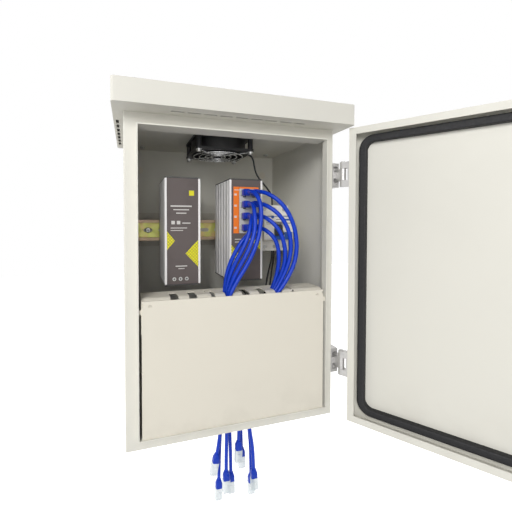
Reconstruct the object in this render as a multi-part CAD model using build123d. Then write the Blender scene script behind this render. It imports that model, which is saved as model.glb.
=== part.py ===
from build123d import *
from math import cos, radians, sin, tan
import os

# Millimetres. X runs to the right, Y into the cabinet, Z up.
# The origin is the centre of the four wall holes, on the outer face of the back wall.

# Sheet metal body
body_width = 300.0
body_depth = 210.0
body_height = 428.0
sheet = 1.5
edge_radius = 2.0
flange_width = 15.5
lip_reach = 10.0
top_return_depth = 18.0
wall_hole_spacing_x = body_width - 50.0
wall_hole_spacing_z = body_height - 78.0
wall_hole_radius = 4.5

left = -body_width / 2
right = body_width / 2
front = -body_depth
bottom = -body_height / 2
top = body_height / 2
lip_inset = flange_width + sheet

# Fits between separate pieces
screw_clearance = 0.2
slide_clearance = 0.2
running_clearance = 0.05

# Rain hood
hood_side = 13.0
hood_front = 33.0
hood_height = 28.0
hood_corner = 4.0
soffit_slot_length = 17.6
soffit_slot_width = 4.0
soffit_slot_pitch = 21.2
front_slot_count = 9
front_slot_reach = 14.8
side_slot_count = 7
side_slot_reach = 8.0
side_slot_middle = 98.75
vent_radius = 41.0
hood_screw_inset_x = 30.0
hood_screw_inset_y = 30.0
hood_screw_radius = 2.5
hood_screw_length = 9.0

# Door, modelled shut and then swung open to its rest angle
door_gap = 1.5
door_depth = 19.5
door_top_gap = 2.0
door_return = 9.5
gasket_inset = 11.0
gasket_width = 10.0
gasket_squeeze = 0.3
gasket_outer_radius = 20.0
gasket_inner_radius = 11.0
door_rest_angle = 125.0

# Hinges
pin_out = 11.0
pin_ahead = 9.0
pin_radius = 2.0
pin_head_radius = 3.2
pin_head = 1.0
knuckle_radius = 4.5
hinge_height = 36.0
hinge_window = 17.6
hinge_play = 0.2
hinge_from_top = 66.5
hinge_from_bottom = 80.5
leaf_thickness = 3.0
door_leaf_depth = 15.0
body_leaf_depth = 26.0
body_leaf_setback = 0.8
body_leaf_height = 36.0
hinge_screw_radius = 1.8
hinge_screw_spread = 26.8
hinge_screw_head_radius = 3.3
hinge_screw_head = 2.2
hinge_screw_bite = 7.0

# Quarter turn lock near the free edge of the door
lock_inset = 44.0
lock_barrel_radius = 9.5
lock_bezel_radius = 13.0
lock_bezel = 4.0
lock_nut_radius = 14.0
lock_nut_height = 5.0
lock_spindle_radius = 5.0
lock_square = 7.0
lock_key_size = 3.5
cam_thickness = 3.0
cam_gap = 1.0
cam_reach = 38.0
cam_width = 16.0
cam_bolt_radius = 2.0
cam_bolt_head_radius = 5.0
cam_bolt_head = 3.0

# Rail and its raised bracket
rail_height = 63.5
rail_width = 35.0
rail_depth = 7.5
rail_sheet = 1.0
rail_waist = 25.0
rail_end_gap = 10.0
rail_slot_pitch = 25.0
rail_slot_length = 15.0
rail_slot_width = 6.2
rail_slot_count = 10
bracket_height = 35.0
bracket_standoff = 58.0
bracket_foot = 14.0
bracket_nut_inset = 40.0
bracket_nut_radius = 4.0
bracket_nut_height = 3.5
bracket_stud_radius = 2.0
bracket_stud_length = 6.5
rail_screw_radius = 2.4
rail_screw_head_radius = 4.6
rail_screw_head = 3.0

rail_back = -bracket_standoff - sheet
rail_front = rail_back - rail_depth

# Finned aluminium housings of the power supply and the network switch
housing_front = -160.0
housing_fin = 3.2
fin_thickness = 10.5
fin_pitch = 15.6
fin_first = 11.5
front_rib = 3.0
front_rib_depth = 6.0
housing_wall = 2.5
panel_thickness = 1.0
panel_setback = 0.5
end_cap = 2.0
cap_inset = 1.0
housing_clip = 5.0
clip_width = 36.0
clip_height = 50.0
clip_hook = 1.5
clip_tooth = 2.5
board_thickness = 1.6

psu_width = 52.3
psu_middle = 81.6 - body_width / 2
psu_bottom = -15.5
psu_height = 158.5
psu_screw_pitch = 9.1
psu_screw_first = -12.6
psu_screw_rise = 9.6
psu_screw_head_radius = 2.6
psu_screw_head = 1.2
psu_screw_radius = 1.4

switch_width = 54.0
switch_middle = 30.2
switch_bottom = -13.8
switch_height = 157.8
jack_columns = 2
jack_rows = 4
jack_pitch_x = 15.0
jack_pitch_z = 17.7
jack_first_x = -3.2
jack_first_z = 82.8
jack_width = 12.2
jack_height = 9.2
jack_depth = 17.5
block_margin_x = 8.3
block_depth = 18.0
block_proud = 1.0
latch_width = 5.0
latch_height = 2.0

# Lead plugs and their moulded boots
plug_width = 11.7
plug_height = 8.2
plug_length = 20.8
plug_show = 4.0
boot_width = 11.2
boot_height = 10.4
boot_length = 14.0
boot_end_radius = 4.0
lead_diameter = 6.0

# Circuit breaker, three modules wide
breaker_module = 18.0
breaker_modules = 3
breaker_middle = body_width / 2 - 49.0
breaker_height = 79.5
breaker_shoulder = 45.0
breaker_nose = 17.0
breaker_nose_height = 45.0
breaker_hug = 4.0
seam_depth = 0.5
seam_width = 0.6
toggle_width = 16.0
toggle_drum_radius = 6.5
toggle_reach = 16.0
toggle_thickness = 5.0
toggle_sink = 7.0
toggle_window = 22.0
toggle_rest_angle = 45.0
button_x = -11.6
button_rise = 19.0
button_radius = 2.5
button_show = 1.5
button_length = 6.0
terminal_radius = 3.4
terminal_sink = 2.0
terminal_rise = 7.0
terminal_screw_head = 1.4
terminal_screw_radius = 2.8
rail_latch_width = 12.0
rail_latch_thickness = 3.4
rail_latch_length = 26.0
rail_latch_bite = 2.2

# Ceiling fan
fan_size = 92.0
fan_depth = 25.0
fan_middle_x = -1.0
fan_from_front = 100.0
fan_bore_radius = 43.5
fan_wall = 1.5
fan_flange = 4.0
fan_hole_offset = 41.25
fan_hole_radius = 2.2
fan_post_radius = 4.0
fan_corner = 3.5
fan_motor_radius = 19.5
fan_motor_plate = 3.0
fan_strut_width = 4.0
hub_radius = 19.0
hub_gap = 0.4
shaft_radius = 1.5
blade_count = 7
blade_chord = 20.0
blade_thickness = 1.8
blade_pitch = 35.0
blade_tip_gap = 1.0
guard_wire = 0.8
guard_weld = 0.3
guard_rings = 4
guard_first_ring = 12.0
guard_ring_pitch = 9.5
eyelet_radius = 4.4
eyelet = 1.8
fan_screw_radius = 1.9
fan_screw_head_radius = 4.0
fan_screw_head = 2.4
fan_cable_diameter = 3.0

# Cable comb and the lift out cover below it
comb_sheet = 1.2
comb_top = -20.0
comb_bend = 12.0
comb_ahead = 6.5
comb_back = 36.0
comb_web_bottom = -64.0
comb_side_gap = 3.0
comb_slot_pitch = (body_width - 102.4) / 8
comb_slot_width = 10.6
comb_slot_first = 57.0 - body_width / 2
comb_slot_count = 8
comb_slot_end = 23.0
comb_slot_bottom = -31.0
comb_flap_slot = 2
comb_flap_width = 5.4
comb_last_flap_width = 5.0
comb_flap_slit = 1.0
comb_tie_slot_length = 30.0
comb_tie_slot_width = 2.2
comb_tie_slot_x = body_width / 2 - 39.0
comb_tab_height = 6.0
comb_tab_middle = -36.0
comb_tab_depth = 8.0
comb_screw_radius = 1.5
comb_screw_head_radius = 2.6
comb_screw_head = 1.6
cover_gap = 3.4
cover_top = -22.3
cover_hook_x = body_width / 2 - 30.5
cover_hook_height = -28.5
cover_hook_width = 4.0
cover_hook_reach = 0.8
cover_slot_play = 0.5
cover_notch_radius = 2.2

# Floor opening and its rubber edging
floor_opening_x = 30.0
floor_opening_from_front = 102.0
floor_opening_width = 84.0
floor_opening_depth = 52.0
floor_opening_corner = 10.0
grommet_wall = 3.0
grommet_flange = 3.0

# Terminal block and earth stud in the lower compartment
terminal_block_middle = 73.0
terminal_block_poles = 4
terminal_block_pitch = 10.0
terminal_block_depth = 25.0
terminal_block_height = 30.0
terminal_block_top = -74.0
earth_stud_x = body_width / 2 - 40.0
earth_stud_from_back = 60.0
earth_stud_radius = 3.0
earth_stud_length = 18.0
earth_washer_radius = 6.5
earth_washer = 1.2
earth_nut_radius = 5.7
earth_nut = 5.0
supply_wire_diameter = 3.0

hinge_heights = (top - hinge_from_top, bottom + hinge_from_bottom)
pin_x = right + pin_out
pin_y = front - pin_ahead
door_axis = Axis((pin_x, pin_y, 0), (0, 0, 1))
fan_x = fan_middle_x
fan_y = front + fan_from_front
fan_top = top - sheet
fan_bottom = fan_top - fan_depth
floor_opening_y = front + floor_opening_from_front


def block(x0, x1, y0, y1, z0, z1):
    return Pos((x0 + x1) / 2, (y0 + y1) / 2, (z0 + z1) / 2) * Box(x1 - x0, y1 - y0, z1 - z0)


def rod_x(x0, x1, y, z, radius):
    return Pos((x0 + x1) / 2, y, z) * Rot(0, 90, 0) * Cylinder(radius, x1 - x0)


def rod_y(x, y0, y1, z, radius):
    return Pos(x, (y0 + y1) / 2, z) * Rot(90, 0, 0) * Cylinder(radius, y1 - y0)


def rod_z(x, y, z0, z1, radius):
    return Pos(x, y, (z0 + z1) / 2) * Cylinder(radius, z1 - z0)


def hexagon_z(x, y, z0, z1, radius):
    return Pos(x, y, z0) * extrude(RegularPolygon(radius, 6), z1 - z0)


def hexagon_y(x, y0, y1, z, radius):
    return Pos(x, y1, z) * Rot(90, 0, 0) * extrude(RegularPolygon(radius, 6), y1 - y0)


def across(x0, x1, points):
    """A section drawn in Y and Z, drawn out along X."""
    return Pos(x0, 0, 0) * extrude(Plane.YZ * make_face(Polyline(*points, close=True)), x1 - x0)


def rounded_frame(width, height, corner, y0, y1, x=0.0, z=0.0):
    """A rounded rectangle standing in X and Z, between two depths."""
    shape = extrude(RectangleRounded(width, height, corner), y1 - y0)
    return Pos(x, y1, z) * Rot(90, 0, 0) * shape


def rounded_plate(width, depth, corner, x, y, z0, z1):
    return Pos(x, y, z0) * extrude(RectangleRounded(width, depth, corner), z1 - z0)


def four(x, y):
    return [(sx * x, sy * y) for sx in (-1, 1) for sy in (-1, 1)]


def group(solids):
    return Compound(children=list(solids))


def cord_tube(name, points, diameter):
    """Straight runs joined by tangent arcs, each as large as its two runs allow."""
    path_points = [Vector(*p) for p in points]
    radii = []
    for before, here, after in zip(path_points, path_points[1:], path_points[2:]):
        turn = radians((here - before).get_angle(after - here))
        shorter = min((here - before).length, (after - here).length)
        radii.append(0.45 * shorter / tan(turn / 2))
    path = FilletPolyline(*path_points, radius=radii)
    section = Plane(origin=path @ 0, z_dir=path % 0) * Circle(diameter / 2)
    tube = sweep(section, path=path)
    print(name, "length", round(path.length, 1), "smallest radius", round(min(radii), 1),
          "volume share", round(tube.volume / (section.area * path.length), 4))
    return tube


# Body and hood

def hood_screw_places():
    return [(x, y + front / 2) for x, y in four(right - hood_screw_inset_x, -front / 2 - hood_screw_inset_y)]


def fan_screw_places():
    return [(fan_x + x, fan_y + y) for x, y in four(fan_hole_offset, fan_hole_offset)]


def hinge_screw_y_body():
    return front + body_leaf_setback + body_leaf_depth / 2


def hinge_screw_heights():
    return [z + s * hinge_screw_spread / 2 for z in hinge_heights for s in (-1, 1)]


def comb_tab_screw_y():
    return front - comb_ahead + comb_sheet + comb_tab_depth / 2 - 0.5


def cabinet_body():
    shell = block(left, right, front, 0, bottom, top)
    shell = fillet(shell.edges().filter_by(Axis.Z).group_by(Axis.Y)[0], edge_radius)
    shell -= block(left + sheet, right - sheet, front + sheet, -sheet, bottom + sheet, top - sheet)
    lip = block(left + flange_width, right - flange_width, front - lip_reach, front + sheet,
                bottom + flange_width, top - flange_width)
    top_return = block(left + flange_width, right - flange_width, front, front + top_return_depth,
                       top - lip_inset, top - flange_width)
    opening = block(left + lip_inset, right - lip_inset, front - 2 * lip_reach, front + 2 * sheet,
                    bottom + lip_inset, top - lip_inset)
    shell = shell + lip + top_return - opening
    for x, z in four(wall_hole_spacing_x / 2, wall_hole_spacing_z / 2):
        shell -= rod_y(x, -2 * sheet, sheet, z, wall_hole_radius)
    shell -= rod_z(fan_x, fan_y, top - 2 * sheet, top + sheet, vent_radius)
    for x, y in hood_screw_places():
        shell -= rod_z(x, y, top - 2 * sheet, top + sheet, hood_screw_radius + screw_clearance)
    for x, y in fan_screw_places():
        shell -= rod_z(x, y, top - 2 * sheet, top + sheet, fan_screw_radius + screw_clearance)
    shell -= rounded_plate(floor_opening_width, floor_opening_depth, floor_opening_corner,
                           floor_opening_x, floor_opening_y, bottom - sheet, bottom + 2 * sheet)
    for z in hinge_screw_heights():
        shell -= rod_x(right - 2 * sheet, right + sheet, hinge_screw_y_body(), z,
                       hinge_screw_radius + screw_clearance)
    for side in (-1, 1):
        x = side * (right - lip_inset)
        shell -= rod_x(x - 2 * sheet, x + 2 * sheet, comb_tab_screw_y(), comb_tab_middle,
                       comb_screw_radius + screw_clearance)
    return shell


def soffit_slot(x, y, along_x):
    size = (soffit_slot_length, soffit_slot_width) if along_x else (soffit_slot_width, soffit_slot_length)
    slot = RectangleRounded(size[0], size[1], soffit_slot_width / 2 - 0.01)
    return Pos(x, y, top - sheet) * extrude(slot, 3 * sheet)


def rain_hood():
    hood = block(left - hood_side, right + hood_side, front - hood_front, 0, top, top + hood_height)
    hood = fillet(hood.edges().filter_by(Axis.Z), hood_corner)
    inner = block(left - hood_side + sheet, right + hood_side - sheet, front - hood_front + sheet,
                  -sheet, top + sheet, top + hood_height - sheet)
    hood -= fillet(inner.edges().filter_by(Axis.Z), hood_corner - sheet)
    hood -= rod_z(fan_x, fan_y, top - sheet, top + 2 * sheet, vent_radius)
    for x, y in hood_screw_places():
        hood -= rod_z(x, y, top - sheet, top + 2 * sheet, hood_screw_radius + screw_clearance)
    for x, y in fan_screw_places():
        hood -= rod_z(x, y, top - sheet, top + 2 * sheet, fan_screw_radius + screw_clearance)
    for i in range(front_slot_count):
        x = (i - (front_slot_count - 1) / 2) * soffit_slot_pitch
        hood -= soffit_slot(x, front - front_slot_reach, True)
    for side in (-1, 1):
        for i in range(side_slot_count):
            y = -side_slot_middle + (i - (side_slot_count - 1) / 2) * soffit_slot_pitch
            hood -= soffit_slot(side * (right + side_slot_reach), y, False)
    return hood


def hood_screws():
    screws = []
    for x, y in hood_screw_places():
        head = rod_z(x, y, top - sheet - hood_screw_radius, top - sheet, 1.8 * hood_screw_radius)
        shank = rod_z(x, y, top - sheet, top - sheet + hood_screw_length, hood_screw_radius)
        screws.append(head + shank)
    return group(screws)


# Door and hinges

def on_open_door(shape):
    return shape.rotate(door_axis, door_rest_angle)


door_skin = front - door_gap - door_depth
door_inner = door_skin + sheet
door_top = top - door_top_gap
door_height = door_top - bottom
door_middle_z = (door_top + bottom) / 2


def door_shell():
    shell = block(left, right, door_skin, front - door_gap, bottom, door_top)
    shell = fillet(shell.edges().filter_by(Axis.Z).group_by(Axis.Y)[0], edge_radius)
    shell -= block(left + sheet, right - sheet, door_inner, front - door_gap - sheet,
                   bottom + sheet, door_top - sheet)
    shell -= block(left + door_return, right - door_return, door_inner, front,
                   bottom + door_return, door_top - door_return)
    shell -= rod_y(left + lock_inset, door_skin - sheet, door_inner + sheet, 0,
                   lock_barrel_radius + screw_clearance)
    for z in hinge_screw_heights():
        shell -= rod_x(right - 2 * sheet, right + sheet, door_leaf_y(), z,
                       hinge_screw_radius + screw_clearance)
    return on_open_door(shell)


def door_gasket():
    width = body_width - 2 * gasket_inset
    height = door_height - 2 * gasket_inset
    face = front - lip_reach - gasket_squeeze
    outer = rounded_frame(width, height, gasket_outer_radius, door_inner, face, 0, door_middle_z)
    inner = rounded_frame(width - 2 * gasket_width, height - 2 * gasket_width, gasket_inner_radius,
                          door_inner - sheet, face + sheet, 0, door_middle_z)
    ring = outer - inner
    ring = fillet(ring.faces().sort_by(Axis.Y)[-1].edges(), 2.0)
    return on_open_door(ring)


def door_leaf_y():
    return pin_y - 2.5


def hinge_body_leaves():
    leaves = []
    for z in hinge_heights:
        y0 = front + body_leaf_setback
        half = body_leaf_height / 2
        leaf = block(right, pin_x, y0, y0 + body_leaf_depth, z - half, z + half)
        leaf = chamfer(leaf.edges().filter_by(Axis.Z).group_by(Axis.X)[-1].group_by(Axis.Y)[-1], 7.0)
        pocket_width = pin_out - 2 * sheet
        pocket_height = half / 2
        for side in (-1, 1):
            pocket = rounded_frame(pocket_width, pocket_height, 2.0, y0 - sheet, y0 + 4 * sheet,
                                   right + pin_out / 2, z + side * half / 2)
            leaf -= pocket
            leaf -= rod_x(right - sheet, right + hinge_screw_bite + sheet, hinge_screw_y_body(),
                          z + side * hinge_screw_spread / 2, hinge_screw_radius + screw_clearance)
        reach = hinge_window / 2 - hinge_play
        arm = block(pin_x - knuckle_radius, pin_x + knuckle_radius, pin_y, y0 + knuckle_radius,
                    z - reach, z + reach)
        knuckle = rod_z(pin_x, pin_y, z - reach, z + reach, knuckle_radius)
        bore = rod_z(pin_x, pin_y, z - hinge_height, z + hinge_height, pin_radius + running_clearance)
        leaves.append(leaf + arm + knuckle - bore)
    return group(leaves)


def hinge_door_leaves():
    leaves = []
    for z in hinge_heights:
        half = hinge_height / 2
        plate = block(right, right + leaf_thickness, door_leaf_y() - door_leaf_depth / 2,
                      door_leaf_y() + door_leaf_depth / 2, z - half, z + half)
        leaf = plate
        for side in (-1, 1):
            z0, z1 = sorted((z + side * hinge_window / 2, z + side * half))
            leaf += block(right, pin_x, pin_y - knuckle_radius, pin_y + knuckle_radius, z0, z1)
            leaf += rod_z(pin_x, pin_y, z0, z1, knuckle_radius)
        leaf -= rod_z(pin_x, pin_y, z - hinge_height, z + hinge_height, pin_radius + running_clearance)
        for side in (-1, 1):
            leaf -= rod_x(right - sheet, right + hinge_screw_bite - sheet, door_leaf_y(),
                          z + side * hinge_screw_spread / 2, hinge_screw_radius + screw_clearance)
        leaves.append(leaf)
    return on_open_door(group(leaves))


def hinge_pins():
    pins = []
    for z in hinge_heights:
        half = hinge_height / 2 + hinge_play
        pin = rod_z(pin_x, pin_y, z - half, z + half, pin_radius)
        pins.append(pin + rod_z(pin_x, pin_y, z + half, z + half + pin_head, pin_head_radius))
    return group(pins)


def hinge_screw(x, y, z, bite):
    head = rod_x(x - hinge_screw_head, x, y, z, hinge_screw_head_radius)
    return head + rod_x(x, x + bite, y, z, hinge_screw_radius)


def hinge_body_screws():
    return group(hinge_screw(right - sheet, hinge_screw_y_body(), z, hinge_screw_bite)
                 for z in hinge_screw_heights())


def hinge_door_screws():
    bite = hinge_screw_bite - sheet
    return on_open_door(group(hinge_screw(right - sheet, door_leaf_y(), z, bite)
                              for z in hinge_screw_heights()))


# Lock

lock_x = left + lock_inset
cam_front = front + sheet + cam_gap


def lock_body():
    body = rod_y(lock_x, door_skin - lock_bezel, door_skin, 0, lock_bezel_radius)
    body = fillet(body.faces().sort_by(Axis.Y)[0].edges(), 1.5)
    body += rod_y(lock_x, door_skin, front - sheet, 0, lock_barrel_radius)
    body -= rod_y(lock_x, door_skin - 2 * lock_bezel, front + sheet, 0,
                  lock_spindle_radius + running_clearance)
    return on_open_door(body)


def lock_nut():
    nut = hexagon_y(lock_x, door_inner, door_inner + lock_nut_height, 0, lock_nut_radius)
    nut -= rod_y(lock_x, door_skin, front, 0, lock_barrel_radius + running_clearance)
    return on_open_door(nut)


def lock_spindle():
    spindle = rod_y(lock_x, door_skin - lock_bezel / 2, cam_front, 0, lock_spindle_radius)
    square = block(lock_x - lock_square / 2, lock_x + lock_square / 2, cam_front,
                   cam_front + cam_thickness, -lock_square / 2, lock_square / 2)
    key = Pos(lock_x, door_skin - lock_bezel / 2, 0) * Rot(90, 0, 0)
    key = key * extrude(RegularPolygon(lock_key_size, 3), lock_bezel / 2)
    spindle = spindle + square + key
    spindle -= rod_y(lock_x, front, cam_front + 2 * cam_thickness, 0, cam_bolt_radius)
    return on_open_door(spindle)


def lock_cam():
    cam = rod_y(lock_x, cam_front, cam_front + cam_thickness, 0, cam_width / 2)
    cam += block(lock_x - cam_width / 2, lock_x + cam_width / 2, cam_front,
                 cam_front + cam_thickness, 0, cam_reach)
    hole = lock_square / 2 + running_clearance
    cam -= block(lock_x - hole, lock_x + hole, front, cam_front + 2 * cam_thickness, -hole, hole)
    return on_open_door(cam)


def lock_cam_bolt():
    y0 = cam_front + cam_thickness
    bolt = hexagon_y(lock_x, y0, y0 + cam_bolt_head, 0, cam_bolt_head_radius)
    bolt += rod_y(lock_x, front + cam_gap, y0, 0, cam_bolt_radius - running_clearance)
    return on_open_door(bolt)


# Rail

def bracket_nut_places():
    z_offset = bracket_height / 2 + bracket_foot / 2
    return [(x, rail_height + z) for x, z in four(right - bracket_nut_inset, z_offset)]


def rail_bracket():
    x0 = left + rail_end_gap
    x1 = right - rail_end_gap
    low = rail_height - bracket_height / 2
    high = rail_height + bracket_height / 2
    bracket = block(x0, x1, rail_back, -sheet, low, high)
    bracket -= block(x0 - sheet, x1 + sheet, rail_back + sheet, 0, low + sheet, high - sheet)
    bracket += block(x0, x1, -2 * sheet, -sheet, low - bracket_foot, low + sheet)
    bracket += block(x0, x1, -2 * sheet, -sheet, high - sheet, high + bracket_foot)
    for x, z in bracket_nut_places():
        bracket -= rod_y(x, -3 * sheet, 0, z, bracket_stud_radius + screw_clearance)
    for x in rail_screw_places():
        bracket -= rod_y(x, rail_back - sheet, rail_back + 2 * sheet, rail_height,
                         rail_screw_radius + screw_clearance)
    return bracket


def bracket_nuts():
    nuts = []
    for x, z in bracket_nut_places():
        nut = hexagon_y(x, -2 * sheet - bracket_nut_height, -2 * sheet, z, bracket_nut_radius)
        nuts.append(nut + rod_y(x, -sheet - bracket_stud_length, -sheet, z, bracket_stud_radius))
    return group(nuts)


def rail_slot_places():
    return [(i - (rail_slot_count - 1) / 2) * rail_slot_pitch for i in range(rail_slot_count)]


def rail_screw_places():
    return [rail_slot_places()[0], rail_slot_places()[-1]]


def din_rail():
    outer = rail_width / 2
    waist = rail_waist / 2
    inner_side = [(rail_front, outer), (rail_front, waist), (rail_back - rail_sheet, waist)]
    outer_side = [(rail_back, waist + rail_sheet), (rail_front + rail_sheet, waist + rail_sheet),
                  (rail_front + rail_sheet, outer)]
    half = inner_side + [(y, -z) for y, z in reversed(inner_side)]
    half += [(y, -z) for y, z in reversed(outer_side)] + outer_side
    section = [(y, rail_height + z) for y, z in half]
    rail = across(left + rail_end_gap, right - rail_end_gap, section)
    for x in rail_slot_places():
        slot = rounded_frame(rail_slot_length, rail_slot_width, rail_slot_width / 2 - 0.01,
                             rail_back - 2 * rail_sheet, rail_back + rail_sheet, x, rail_height)
        rail -= slot
    return rail


def rail_screws():
    screws = []
    for x in rail_screw_places():
        y1 = rail_back - rail_sheet
        head = rod_y(x, y1 - rail_screw_head, y1, rail_height, rail_screw_head_radius)
        head = fillet(head.faces().sort_by(Axis.Y)[0].edges(), 1.2)
        screws.append(head + rod_y(x, y1, rail_back + 4 * sheet, rail_height, rail_screw_radius))
    return group(screws)


def rail_clip(x):
    """A plate on the housing's back, with a hook over each edge of the rail."""
    x0, x1 = x - clip_width / 2, x + clip_width / 2
    clip = block(x0, x1, rail_front - housing_clip, rail_front,
                 rail_height - clip_height / 2, rail_height + clip_height / 2)
    behind = rail_front + rail_sheet + slide_clearance
    for side in (-1, 1):
        edge = rail_width / 2 + slide_clearance
        end = rail_height + side * clip_height / 2
        z0, z1 = sorted((rail_height + side * edge, end))
        clip += block(x0, x1, rail_front, behind + clip_hook, z0, z1)
        z0, z1 = sorted((rail_height + side * (edge - clip_tooth), end))
        clip += block(x0, x1, behind, behind + clip_hook, z0, z1)
    return clip


# Housings

housing_back = rail_front - housing_clip


def housing_shell(middle, width, low, height):
    x0, x1 = middle - width / 2, middle + width / 2
    z0, z1 = low + end_cap, low + height - end_cap
    face = housing_front + panel_setback + panel_thickness
    shell = block(x0 + housing_fin, x1 - housing_fin, face, housing_back, z0, z1)
    y = housing_front + fin_first
    while y + fin_thickness < housing_back:
        shell += block(x0, x1, y, y + fin_thickness, z0, z1)
        y += fin_pitch
    for rib in (x0, x1 - front_rib):
        shell += block(rib, rib + front_rib, housing_front, housing_front + front_rib_depth, z0, z1)
    inset = housing_fin + housing_wall
    shell += block(x0 + front_rib / 2, x1 - front_rib / 2, face, face + housing_wall, z0, z1)
    shell -= block(x0 + inset, x1 - inset, face + housing_wall, housing_back - housing_wall,
                   z0 - end_cap, z1 + end_cap)
    return shell


def housing_panel(middle, width, low, height):
    x0 = middle - width / 2 + front_rib
    x1 = middle + width / 2 - front_rib
    y0 = housing_front + panel_setback
    return block(x0, x1, y0, y0 + panel_thickness, low + end_cap, low + height - end_cap)


def housing_caps(middle, width, low, height):
    x0 = middle - width / 2 + cap_inset
    x1 = middle + width / 2 - cap_inset
    y0, y1 = housing_front + cap_inset, housing_back - cap_inset
    return group([block(x0, x1, y0, y1, low, low + end_cap),
                  block(x0, x1, y0, y1, low + height - end_cap, low + height)])


def housing_board(middle, width, low, height):
    """The circuit board inside, with its larger components, held in the housing's corner."""
    wall_x = middle + width / 2 - housing_fin - housing_wall
    z0, z1 = low + end_cap, low + height - end_cap
    y0 = housing_front + panel_setback + panel_thickness + housing_wall + block_depth
    y1 = housing_back - housing_wall
    board = block(wall_x - board_thickness, wall_x, y0, y1, z0, z1)
    part_x = wall_x - board_thickness
    step = (z1 - z0) / 4
    board += block(part_x - 20, part_x, y0 + 8, y0 + 32, z0 + 0.3 * step, z0 + 1.1 * step)
    board += rod_x(part_x - 24, part_x, y0 + 16, z0 + 1.9 * step, 9)
    board += rod_x(part_x - 24, part_x, y1 - 14, z0 + 1.9 * step, 9)
    board += block(part_x - 12, part_x, y0 + 6, y1 - 8, z0 + 2.7 * step, z0 + 3.2 * step)
    return board


def psu_screw_places():
    return [(psu_middle + psu_screw_first + i * psu_screw_pitch, psu_bottom + psu_screw_rise)
            for i in range(3)]


psu_body = (psu_middle, psu_width, psu_bottom, psu_height)
switch_body = (switch_middle, switch_width, switch_bottom, switch_height)


def psu_casing():
    casing = housing_shell(*psu_body)
    for x, z in psu_screw_places():
        casing -= rod_y(x, housing_front, housing_front + 4 * housing_wall, z,
                        psu_screw_radius + running_clearance)
    return casing


def psu_front_panel():
    panel = housing_panel(*psu_body)
    for x, z in psu_screw_places():
        panel -= rod_y(x, housing_front, housing_front + 4 * housing_wall, z,
                       psu_screw_radius + running_clearance)
    return panel


def psu_terminal_screws():
    screws = []
    for x, z in psu_screw_places():
        y0 = housing_front + panel_setback
        head = rod_y(x, y0 - psu_screw_head, y0, z, psu_screw_head_radius)
        screws.append(head + rod_y(x, y0, y0 + panel_thickness + housing_wall, z, psu_screw_radius))
    return group(screws)


# The switch's jacks

def jack_places():
    return [(switch_middle + jack_first_x + c * jack_pitch_x, switch_bottom + jack_first_z + r * jack_pitch_z)
            for c in range(jack_columns) for r in reversed(range(jack_rows))]


def port_block_box(gap):
    xs = [x for x, _ in jack_places()]
    zs = [z for _, z in jack_places()]
    return (min(xs) - block_margin_x - gap, max(xs) + block_margin_x + gap,
            housing_front - block_proud, housing_front + block_depth,
            min(zs) - jack_pitch_z / 2 - gap, max(zs) + jack_pitch_z / 2 + gap)


def switch_casing():
    return housing_shell(*switch_body) - block(*port_block_box(slide_clearance / 2))


def switch_front_panel():
    return housing_panel(*switch_body) - block(*port_block_box(slide_clearance / 2))


def switch_port_block():
    body = block(*port_block_box(0))
    y0 = housing_front - block_proud
    for x, z in jack_places():
        body -= block(x - jack_width / 2, x + jack_width / 2, y0 - 1, y0 + jack_depth,
                      z - jack_height / 2, z + jack_height / 2)
        body -= block(x - latch_width / 2, x + latch_width / 2, y0 - 1, y0 + jack_depth,
                      z - jack_height / 2 - latch_height, z)
    return body


def plug(x, y, z, direction):
    """A modular plug along Y (into the jack) or along Z (hanging on a lead's end)."""
    body = Box(plug_width, plug_length, plug_height)
    body -= Pos(0, -plug_length / 2 + 3, plug_height / 2) * Box(plug_width - 2, 4, 2)
    latch = Pos(0, plug_length * 0.1, -plug_height / 2 - 0.6) * Box(latch_width - 1, plug_length * 0.6, 1.2)
    body += latch
    body = Pos(0, plug_length / 2, 0) * body
    return Pos(x, y, z) * direction * body


def boot(x, y, z, direction):
    """The moulded boot, from the plug's back to the lead, round at its thin end."""
    base = Plane.XZ * RectangleRounded(boot_width, boot_height, 2.0)
    middle = Plane.XZ.offset(boot_length * 0.55) * RectangleRounded(boot_width, boot_height, 2.6)
    tip = Plane.XZ.offset(boot_length) * Circle(boot_end_radius)
    shape = extrude(Plane.XZ * RectangleRounded(boot_width, boot_height, 2.6), boot_length * 0.55)
    shape += loft([middle, tip])
    return Pos(x, y, z) * direction * shape


plug_back_y = housing_front - block_proud - plug_show
lead_start_y = plug_back_y - boot_length


def port_plugs():
    return group(plug(x, plug_back_y, z, Rot(0, 0, 0)) for x, z in jack_places())


# Patch leads, from the boots of the jacks through the comb and out of the floor

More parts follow.
